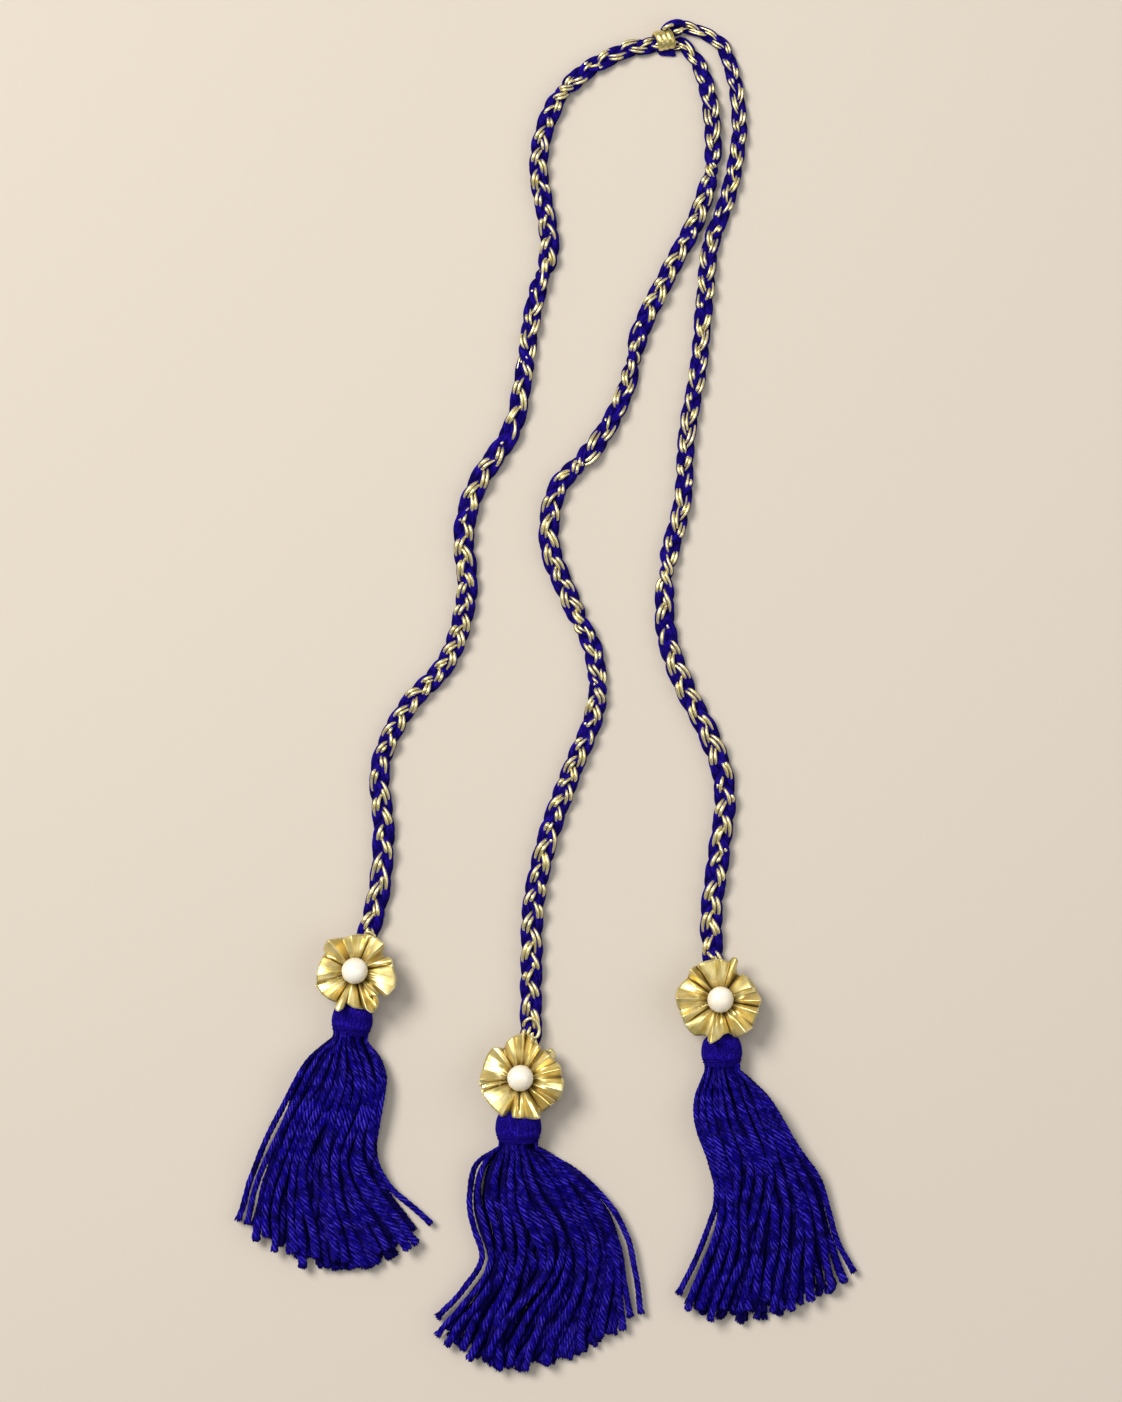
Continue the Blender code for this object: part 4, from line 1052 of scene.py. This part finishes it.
def yarn_tubes(paths, length, radius_share, deep, rng):
    """Plied yarns along paths (strands x stations).

    Each ring is turned on by its distance over the yarn's own pitch, so the
    plies slant.  The cut end flares a little and closes round.
    """
    count, columns = radius_share.shape
    rings = int(round(length.mean() / YARN_STEP))
    body = np.linspace(0, 1, rings)[None] * (length[:, None] - 0.9 * MM)
    tail = length[:, None] - np.array([[0.55, 0.28, 0.10, 0.0]]) * MM
    s = np.concatenate([body, tail], 1)
    station = s / length[:, None] * (columns - 1)
    line = np.stack([through(path, at) for path, at in zip(paths, station)])
    flare = 1 + (YARN_FLARE - 1) * smooth(1 - (length[:, None] - s) / (2.4 * MM))
    close = np.ones_like(s)
    close[:, -4:] = (1.0, 0.93, 0.72, 0.30)
    uneven = 1 + 0.05 * wander(rng, count, s / (70 * MM), (5, 9, 14))
    r = YARN * read_at(radius_share, station) * flare * close * uneven
    pitch = YARN_PITCH * rng.uniform(1.05, 1.50, (count, 1))
    turn = 2 * pi * s / pitch + rng.uniform(0, 2 * pi, (count, 1))
    # the rings, their distances and each ring's painted shade
    return (swept(line, r, 2 * YARN_PLIES, turn=turn, lobes=YARN_PLIES, depth=0.055), s,
            read_at(deep, station))


def tufts(ends, directions, rng):
    """Short blunt fibres that stand out of the cut ends, within the yarn's own width."""
    count = len(ends) * TUFT_COUNT
    base, way = np.repeat(ends, TUFT_COUNT, 0), np.repeat(directions, TUFT_COUNT, 0)
    _, out, up = frames(np.stack([base, base + way], 1))
    out, up = out[:, 0], up[:, 0]
    turn = rng.uniform(0, 2 * pi, (count, 1))
    off = 0.92 * YARN * np.sqrt(rng.random((count, 1)))
    radial = out * np.cos(turn) + up * np.sin(turn)
    start = base + radial * off - way * 1.1 * MM
    reach = rng.uniform(1.2, 1.75, (count, 1)) * MM * (1 - 0.22 * (off / YARN) ** 2)
    tip = unit(way + radial * off / YARN * 0.20 + rng.normal(0, 0.07, (count, 3))) * reach
    f = np.linspace(0, 1, 3)
    line = start[:, None] + tip[:, None] * f[:, None]
    line[..., 2] = np.maximum(line[..., 2], 0.16 * MM)
    r = TUFT_FIBRE * np.array([1.0, 1.0, 0.62]) * np.ones((count, 1))
    return swept(line, r, 4), f * 2 * MM


def fuzz(paths, rng):
    """Stray hairs that stand a little off the yarns."""
    count = HAIR_COUNT
    which = rng.integers(0, len(paths), count)
    where = rng.integers(3, paths.shape[1] - 2, count)
    base = paths[which, where]
    way = unit(paths[which, where + 1] - paths[which, where - 1])
    f = np.linspace(0, 1, 6)[:, None]
    off = unit(rng.normal(0, 1, (count, 3)) + [0, 0, 0.7])
    reach = rng.uniform(1.2, 3.2, (count, 1, 1)) * MM
    line = base[:, None] + off[:, None] * (0.7 * MM + 0.9 * MM * np.sin(pi * f * 0.9)) + (
        way[:, None] * reach * f)
    line[..., 2] = np.maximum(line[..., 2], 0.05 * MM)
    r = HAIR * np.array([0.8, 1, 1, 0.9, 0.7, 0.3]) * np.ones((count, 1))
    return swept(line, r, 3), f[:, 0] * 3 * MM


def skirt(side, seed, yarn):
    """Free yarns from the neck to the cut ends, with the fibres and hairs on them.

    At the root the inner yarns fill a disc in a sunflower pattern; the disc
    opens into a band as wide and thick as the skirt.  The yarns of YARNS lie
    on them, and all of them settle together.  A yarn gets painted shade by how
    far it lies under the highest one near it, plus a random amount of its own,
    larger for the inner yarns.
    """
    tassel, rows = TASSELS[side], SKIRTS[side]
    routes = on_table(YARNS[side], YARN_GRIDS[side])
    shown = len(routes)
    rng = np.random.default_rng(seed)
    u = np.linspace(0, 1, STATIONS)[None]
    order = np.arange(YARN_COUNT) + 0.5
    rho, phi = np.sqrt(order / YARN_COUNT)[:, None], (order * GOLDEN_ANGLE)[:, None]
    disc_x, disc_z = rho * np.cos(phi), rho * np.sin(phi)
    edge = skirt_place(tassel, rows, u[0], np.ones(STATIONS)) - skirt_place(
        tassel, rows, u[0], -np.ones(STATIONS))
    half = np.linalg.norm(edge, axis=1)[None] / 2
    open_out = smooth(u / 0.30)
    even = (2 / pi) * (disc_x * np.sqrt(1 - disc_x ** 2) + np.arcsin(disc_x))
    lane = disc_x * (1 - open_out) + even * open_out
    ramp = smooth((u - 0.28) / 0.4)
    low, high = (1 - inset * ramp for inset in INSETS[side])
    reach = np.where(lane < 0, low, high)
    flow = np.sin(2 * pi * (1.1 * u + 0.9 * lane + rng.random())) + 0.7 * np.sin(
        2 * pi * (1.9 * u - 1.7 * lane + rng.random()))
    across = half * lane * reach + 0.7 * MM * flow * smooth(u / 0.4)
    across += wander(rng, YARN_COUNT, u, (0.6, 1.1, 1.9)) * 0.9 * MM * smooth(u / 0.5)
    held, ends = lanes(tassel, rows, routes, u[0])
    across = np.concatenate([across, held * half])
    floor, top = skirt_levels(tassel, rows, u, np.clip(across / half, -1, 1))
    stack = disc_z / np.sqrt(1 - disc_x ** 2 + 1e-6)
    inner = 0.5 + 0.5 * stack + 0.12 * wander(rng, YARN_COUNT, u, (0.7, 1.3, 2.1))
    level = np.concatenate([inner, 1.05 + 0.25 * rng.random((shown, 1)) + 0 * u])
    height = floor + (top - floor) * level
    at_edge = np.abs(held[:, -1]) > 0.9
    size = np.concatenate([rng.uniform(0.78, 1.18, YARN_COUNT),
                           np.where(at_edge, 0.88, rng.uniform(0.98, 1.34, shown))])[:, None]
    share = size * (0.54 + 0.46 * smooth(u / 0.26))
    across, height = settled(across, height, YARN * share, shown, -half * low, half * high,
                             floor, top)
    # painted shade: darker the further a yarn lies under the highest one near it
    above = np.where(np.abs(across[:, None] - across[None]) < 1.5 * MM, height[None], 0.0)
    deep = np.clip((above.max(1) - height - 0.2 * MM) / (1.7 * MM), 0, 1)
    # more painted shade: a random amount for each yarn, larger for the inner yarns
    shade = np.concatenate([rng.uniform(0.06, 0.46, YARN_COUNT), rng.uniform(0, 0.12, shown)])
    deep = np.minimum(deep + shade[:, None], 1.0)
    stop = np.concatenate([1.0 - 0.055 * rng.random(YARN_COUNT) ** 1.2, np.minimum(ends, 1.03)])
    at = u * stop[:, None]
    grid = np.stack([across / half, height], -1)
    moved = np.stack([through(yarn_grid, t) for yarn_grid, t in zip(grid, at * (STATIONS - 1))])
    place = skirt_place(tassel, rows, at, moved[..., 0])
    paths = np.concatenate([place, moved[..., 1:]], -1)
    # one more station, inside the head
    paths = np.concatenate([paths[:, :1] - head_frame(tassel)[1] * 2.4 * MM, paths], 1)
    deep, share = (np.concatenate([field[:, :1], field], 1) for field in (deep, share))
    length = np.linalg.norm(np.diff(paths, axis=1), axis=2).sum(1)
    body = yarn_tubes(paths, length, share, deep, rng)
    fibres = tufts(paths[:, -1], unit(paths[:, -1] - paths[:, -3]), rng)
    tubes("skirt_" + side, [body, fibres, fuzz(paths, rng)], yarn,
          "tassel_" + side)


def head_profile(r):
    """Distance from the skirt's root, radius and how deep the folds are, down the head.

    The ball's rows are in radii from its foot, the wrapped neck's in mm from the root.
    """
    ball = ((-1.16, 0.10, 0.0), (-1.13, 0.34, 0.3), (-1.03, 0.62, 0.6), (-0.86, 0.84, 0.9),
            (-0.62, 0.95, 1.0), (-0.36, 0.995, 1.0), (-0.12, 1.00, 1.0), (0.05, 0.965, 0.8),
            (0.14, 0.90, 0.4))
    neck = ((-1.2, 0.84, 0.3), (-0.5, 0.80, 0.3), (0.0, 0.55, 0.2), (0.1, 0.10, 0.0))
    return np.array([(x * r - BALL_FOOT, y * r, fold) for x, y, fold in ball]
                    + [(x * MM, y * r, fold) for x, y, fold in neck])


def round_head(tassel, along, ring, angle):
    """Places on a head: neck + axis along + (side cos(angle) + flattened up sin(angle)) ring."""
    neck, axis, out = head_frame(tassel)
    return neck + axis * along[..., None] + out * (ring * np.cos(angle))[..., None] + (
        UP * (HEAD_FLATTEN * ring * np.sin(angle))[..., None])


def head(side, seed, yarn):
    """Ball of yarn folds over the cord's end, with the short loops on its face.

    The ball's radius swells and shrinks as |cos(16 angle)|.  A loop is a thin
    yarn that lies on the ball between its middle and the wraps.
    """
    tassel = TASSELS[side]
    rng = np.random.default_rng(seed)
    r = tassel.radius * MM
    profile, _ = evenly(head_profile(r), 44, 2)
    sides = 160
    a = np.arange(sides) * 2 * pi / sides
    slip = 0.05 * wander(rng, 1, profile[:, 0] / r, (0.4, 0.9))[0][:, None]
    folds = np.abs(np.cos(16 * (a[None] + slip) + 0.4 * np.sin(3 * a)[None])) ** 0.8
    ring = profile[:, 1:2] * (0.965 + 0.035 * folds * profile[:, 2:3])
    ball = round_head(tassel, profile[:, :1], ring, a)

    count = LOOP_COUNT
    angles = np.radians(np.linspace(30, 150, count) + rng.uniform(-2, 2, count))
    f = np.linspace(0, 1, 9)
    start, length = -BALL_FOOT - 0.66 * r, 0.50 * r
    along = start + length * f + rng.uniform(-0.7, 0.5, (count, 1)) * MM
    body_r = np.interp(along, profile[:, 0], profile[:, 1])
    lean = angles[:, None] + 0.12 * rng.uniform(-1, 1, (count, 1)) * (f[None] - 0.5)
    lift = body_r + (0.16 * np.sin(pi * f) - 0.20) * MM
    thin = LOOP_THREAD * np.sqrt(np.clip(1 - (2 * f - 1) ** 4, 0.05, 1)) * np.ones((count, 1))
    run = f * length
    loops = swept(round_head(tassel, along, lift, lean), thin, 8,
                  turn=2 * pi * run / (4 * MM), lobes=4, depth=0.12)
    tubes("head_" + side, [(ball[:, ::-1], profile[:, 0] - profile[0, 0]), (loops, run)], yarn)


def wraps(side, seed, yarn):
    """The thread wound round the foot of the ball: a helix, and two turns that cross it.

    A row of windings is its turns, where it starts and ends along the head, how
    proud it stands and how far it tilts; mm.
    """
    windings = ((8.3, -3.60, -0.25, 0.0, 0.0),
                (1.0, -2.9, -1.3, 0.16, 0.7),
                (1.0, -1.2, -2.5, 0.18, -0.6))
    tassel = TASSELS[side]
    rng = np.random.default_rng(seed)
    _, axis, _ = head_frame(tassel)
    batches = []
    for turns, first, last, proud, tilt in windings:
        count = int(64 * turns)
        f = np.linspace(0, 1, count)
        a = 2 * pi * turns * f - pi / 2 + rng.uniform(0, 1)
        along = (first + (last - first) * f + tilt * np.cos(a)) * MM
        ring = np.interp(along / MM, [-3.7, -2.0, 0.0], [0.955, 0.885, 0.785]) * (
            tassel.radius * MM)
        ring = ring + (proud + 0.06 * np.sin(5 * a)) * MM
        line = round_head(tassel, along - 0.55 * MM * np.sin(a), ring, a)
        line[:, 2] = np.maximum(line[:, 2], WRAP_THREAD)
        run = f * 2 * pi * ring.mean() * turns
        size = WRAP_THREAD * rounded(count, run[-1], 0.8 * MM)
        batches.append((swept(line, size, 6, turn=2 * pi * run / (3.2 * MM), lobes=3,
                              depth=0.10, hint=axis), run))
    tubes("wraps_" + side, batches, yarn, "neck_wrap_" + side)


# ---------------------------------------------------------------- rosettes

def seated(ros, points):
    """Local points of a rosette leaned on the head and put in their place."""
    t = radians(ros.tilt)
    y, z = points[..., 1], points[..., 2]
    return np.stack([points[..., 0] + ros.x * MM, y * cos(t) + z * sin(t) + ros.y * MM,
                     z * cos(t) - y * sin(t) + ros.seat * MM], -1)


def ribbon_grid(rim, creases, seed):
    """The gathered ribbon: places along it x places across it, its run, and their painted shade.

    The free edge follows the rim's rows.  The gathered edge is a small circle
    whose angle is the free edge's, evened out.  Between them the ribbon is
    straight and lifted into a dish.  Its height over the dish goes from the
    creases' next to the pearl to the rim's, with tight crimps under the pearl and
    a groove, a V across the angle, where two petals part.  Painted shade darkens a
    place where the ribbon beside it is higher, where two petals part and at the
    cut ends.
    """
    rng = np.random.default_rng(seed)
    rows = np.array([(*row, 0.0)[:4] for row in rim], dtype=float)
    angle, radius = np.radians(rows[:, 0]), rows[:, 1] * MM
    places = np.column_stack([radius * np.cos(angle), radius * np.sin(angle),
                              rows[:, 2] * MM, rows[:, 0], rows[:, 3]])
    count, rows_across = RIBBON_PLACES
    edge, run = evenly(places, count, 3, 0.85)
    length = run[-1]
    inner = blurred(edge[:, 3] - edge[:, 4], np.hanning(39))
    inner = blurred(np.maximum.accumulate(inner), np.ones(13))
    folds = np.array(creases)
    folds = np.concatenate([folds - (360, 0), folds, folds + (360, 0)])
    crease = np.interp(inner, folds[:, 0], folds[:, 1] * MM)
    aside = np.abs(inner[:, None] - folds[folds[:, 1] < PARTED, 0]).min(1)
    groove = GROOVE * np.clip(1 - aside / 3.8, 0, 1)
    # painted shade where two petals part and at the cut ends
    parting_shade = np.maximum(np.clip(1 - aside / 3.2, 0, 1),
                         smooth(1 - np.minimum(run, length - run) / (1.5 * MM)))
    inner = np.radians(inner)
    across = np.linspace(0, 1, rows_across)[None]
    beat = 2 * pi * run / CRIMP + 1.6 * wander(rng, 1, run / length, (4, 7, 11, 19))[0]
    crimp = ((2 / pi) * np.arcsin(0.97 * np.sin(beat)))[:, None]
    foot = np.stack([GATHER * np.cos(inner), GATHER * np.sin(inner), 0 * inner], -1)[:, None]
    points = foot + (edge[:, None, :3] - foot) * across[..., None]
    dish = DISH * (0.2 + 0.8 * across) ** 0.3
    tight = smooth(1 - across / 0.27)
    outer = np.clip((across - 0.12) / 0.88, 0, 1) ** 0.9
    crease = 3.6 * MM * (np.clip(crease, 0, None) / (2.1 * MM)) ** 1.4
    fold = ((crease[:, None] * (1 - across) ** 1.8 - groove[:, None] * (1 - across) ** 0.6)
            * smooth(across / 0.16) + 2.3 * (edge[:, None, 2] - 1.5 * MM) * outer
            + 2.7 * MM * (1 - (1 - outer) ** 3) - 1.3 * MM)
    faint = 0.5 + 0.5 * wander(rng, 1, run / length, (3, 7, 12))[0][:, None]
    points[..., 2] = dish + fold + 1.25 * MM * crimp * tight + (
        0.045 * MM * faint * crimp * (1 - across)) - 0.30 * MM * across ** 7
    points[..., 2] += 0.045 * MM * wander(rng, 1, run / length, (11, 19, 27))[0][:, None] * across
    teeth = 0.20 * MM * (np.arange(rows_across) % 2 * 2 - 1) * np.linspace(0.2, 1, rows_across)
    for end, way in ((0, -1), (-1, 1)):
        tangent = unit(points[end] - points[end - way * 4])
        points[end] += tangent * teeth[:, None]
    deep = parting_shade[:, None] * (0.95 - 0.65 * across)
    # painted shade where the ribbon beside is higher: how far to look to both sides,
    # how much higher gives full shade, and the weight; mm
    for reach, drop, weight in ((6.0, 1.3, 0.9), (2.0, 0.26, 0.6)):
        window = np.hanning(int(reach * MM / (length / count)) | 1)
        around = np.stack([blurred(column, window) for column in fold.T], 1)
        deep = deep + weight * smooth((around - fold) / (drop * MM))
    return points, run, np.minimum(deep, 1.0)


def fray(points, seed):
    """Short metal threads that stick out of the ribbon's two cut ends: lines, radii, distances.

    Each starts on the cut, points away from the ribbon, leans at random and
    curls up or down a little; most of them are near the pearl.
    """
    rng = np.random.default_rng(seed)
    count = FRAY_COUNT
    f = np.linspace(0, 1, 6)[:, None]
    threads = []
    for end, beside in ((0, 5), (-1, -6)):
        cut = points[end]
        place = (0.22 + 0.60 * rng.random(count) ** 1.7) * (len(cut) - 1)
        start = through(cut, place)
        away = unit(start - through(points[beside], place))
        along = unit(np.gradient(cut, axis=0))[np.round(place).astype(int)]
        way = unit(away + along * rng.normal(0, 0.6, (count, 1)) + [0, 0, 0.15])
        reach = rng.uniform(0.4, 1.1, (count, 1, 1)) * MM
        curl = rng.normal(0, 0.35, (count, 1, 3)) * MM
        line = start[:, None] - 0.2 * MM * away[:, None] + way[:, None] * reach * f + (
            curl * f * f)
        r = FRAY_THREAD * np.array([1.0, 1.0, 1.0, 0.9, 0.8, 0.4]) * np.ones((count, 1))
        threads.append((line, r, f[:, 0] * MM))
    return threads


def rosette(side, seed, finish, edge_finish):
    """The gathered ribbon, the thin bright thread along its free edge, and its frayed ends."""
    ros = ROSETTES[side]
    # the ribbon's places, its run and its painted shade
    points, run, deep = ribbon_grid(RIMS[side], CREASES[side], seed)
    t, s, _ = points.shape
    index = np.arange(t * s).reshape(t, s)
    quads = np.stack([index[:-1, :-1], index[:-1, 1:], index[1:, 1:], index[1:, :-1]], -1)
    quads = quads.reshape(-1, 4)
    u, v = np.meshgrid(run / MM, np.linspace(0, RIBBON_WIDTH / MM, s), indexing="ij")
    uv = np.stack([u, v], -1).reshape(-1, 2)[quads].reshape(-1, 2)
    piece = mesh_object("rosette_ribbon_" + side, seated(ros, points).reshape(-1, 3), [quads],
                        uv, deep.ravel(), finish, "rosette_" + side)
    solid = piece.modifiers.new("ribbon", "SOLIDIFY")
    solid.thickness, solid.offset = RIBBON_THICKNESS, 0.0

    batches = [(swept(seated(ros, points[:, -1]), np.full(t, EDGE_THREAD), 6), run)]
    for line, r, along in fray(points, seed + 7):
        batches.append((swept(seated(ros, line), r, 4), along))
    edge = tubes("rosette_edge_" + side, batches, edge_finish)


def pearl(side, finish):
    """A bead, very slightly out of round: its radius swells as sin(2 a) sin(b)^2."""
    rings, sides, pole = 34, 64, 0.004
    b = np.linspace(0, pi, rings + 1)
    b[0], b[-1] = pole, pi - pole
    a, b = np.arange(sides) * 2 * pi / sides, b[:, None]
    r = PEARL * (1 + 0.008 * np.sin(2 * a) * np.sin(b) ** 2)
    points = np.stack([r * np.sin(b) * np.cos(a), r * np.sin(b) * np.sin(a),
                       -0.985 * r * np.cos(b) + PEARL_SEAT], -1)
    tubes("pearl_bead_" + side, [(seated(ROSETTES[side], points), b[:, 0] * PEARL)], finish,
          "pearl_" + side)


# ---------------------------------------------------------------- binding

def binding(gold):
    """Three turns of thick, flattened gold cord round the cords: a helix that leans as
    sin(angle) and draws in at both ends."""
    middle, axis, side = flat_frame(BINDING)
    count = 170
    f = np.linspace(0, 1, count)
    a = 2 * pi * BIND_TURNS * f - 0.75 * pi
    drawn_in = 1 - 0.34 * smooth((np.abs(2 * f - 1) - 0.88) / 0.12)
    ring = (BIND_RADIUS - BIND_FLATTEN * BIND_CORD) * drawn_in
    along = (f - 0.5) * (BIND_LENGTH + 0.6 * MM - 2 * BIND_CORD) + 0.35 * MM * np.sin(a)
    line = middle + axis * along[:, None] + side * (ring * np.cos(a))[:, None] + UP * (
        0.93 * BIND_RADIUS + 0.93 * ring * np.sin(a))[:, None]
    line[:, 2] = np.maximum(line[:, 2], BIND_FLATTEN * BIND_CORD)
    run = f * 2 * pi * (BIND_RADIUS - BIND_CORD) * BIND_TURNS
    size = BIND_CORD * rounded(count, run[-1], 0.8 * MM)
    tubes("binding_turns", [(swept(line, BIND_FLATTEN * size, 18, size, hint=axis), run)], gold,
          "binding")


def tucked(yarn):
    """The cord's short end turned back below the binding: two thick yarns side by side.

    A row is a yarn's place to the side, its radius, and how far it is pushed along; mm.
    """
    middle, axis, side = flat_frame(TUCKED)
    count = 26
    f = np.linspace(0, 1, count)
    batches = []
    for offset, size, shift in ((0.34, 0.84, 0.0), (-0.42, 0.72, 0.35)):
        reach = TUCKED_LENGTH - (0.5 + shift) * MM
        line = middle + axis * ((f - 0.5) * reach + shift * MM)[:, None]
        line = line + side * ((offset - 0.22 * (2 * f - 1) ** 2) * MM)[:, None]
        line[:, 2] = 0.95 * size * MM
        run = f * reach
        batches.append((swept(line, size * MM * rounded(count, reach, 1.1 * MM), 10,
                              turn=2 * pi * run / (12 * MM), lobes=5, depth=0.06), run))
    tubes("tucked_yarn", batches, yarn, "tucked_end")


# ---------------------------------------------------------------- all of it

camera_and_light()
yarn = yarn_finish("tassel yarn", rgb(2, 0, 58), rgb(20, 3, 160), rgb(96, 78, 246), 9.0, 5.0)
ball_yarn = yarn_finish("ball yarn", rgb(8, 2, 74), rgb(28, 8, 148), rgb(84, 66, 226), 60.0,
                        strokes=0.14)
plait_yarn = yarn_finish("plait yarn", rgb(8, 2, 66), rgb(28, 9, 140), rgb(76, 56, 204), 14.0,
                         strokes=0.10)
gold_cord = gold_cord_finish("gold cord", 7.0, 0.35)
gold_wrap = gold_cord_finish("gold wrap", 22.0, 0.12)
ribbon = ribbon_finish()
nacre = pearl_finish()

for number, name in enumerate(SIDES):
    plait(name, 41 + number, plait_yarn, gold_cord)
for number, name in enumerate(SIDES):
    skirt(name, 51 + number, yarn)
    head(name, 61 + number, ball_yarn)
    wraps(name, 71 + number, ball_yarn)
    rosette(name, 81 + number, ribbon, gold_cord)
    pearl(name, nacre)
binding(gold_wrap)
tucked(plait_yarn)
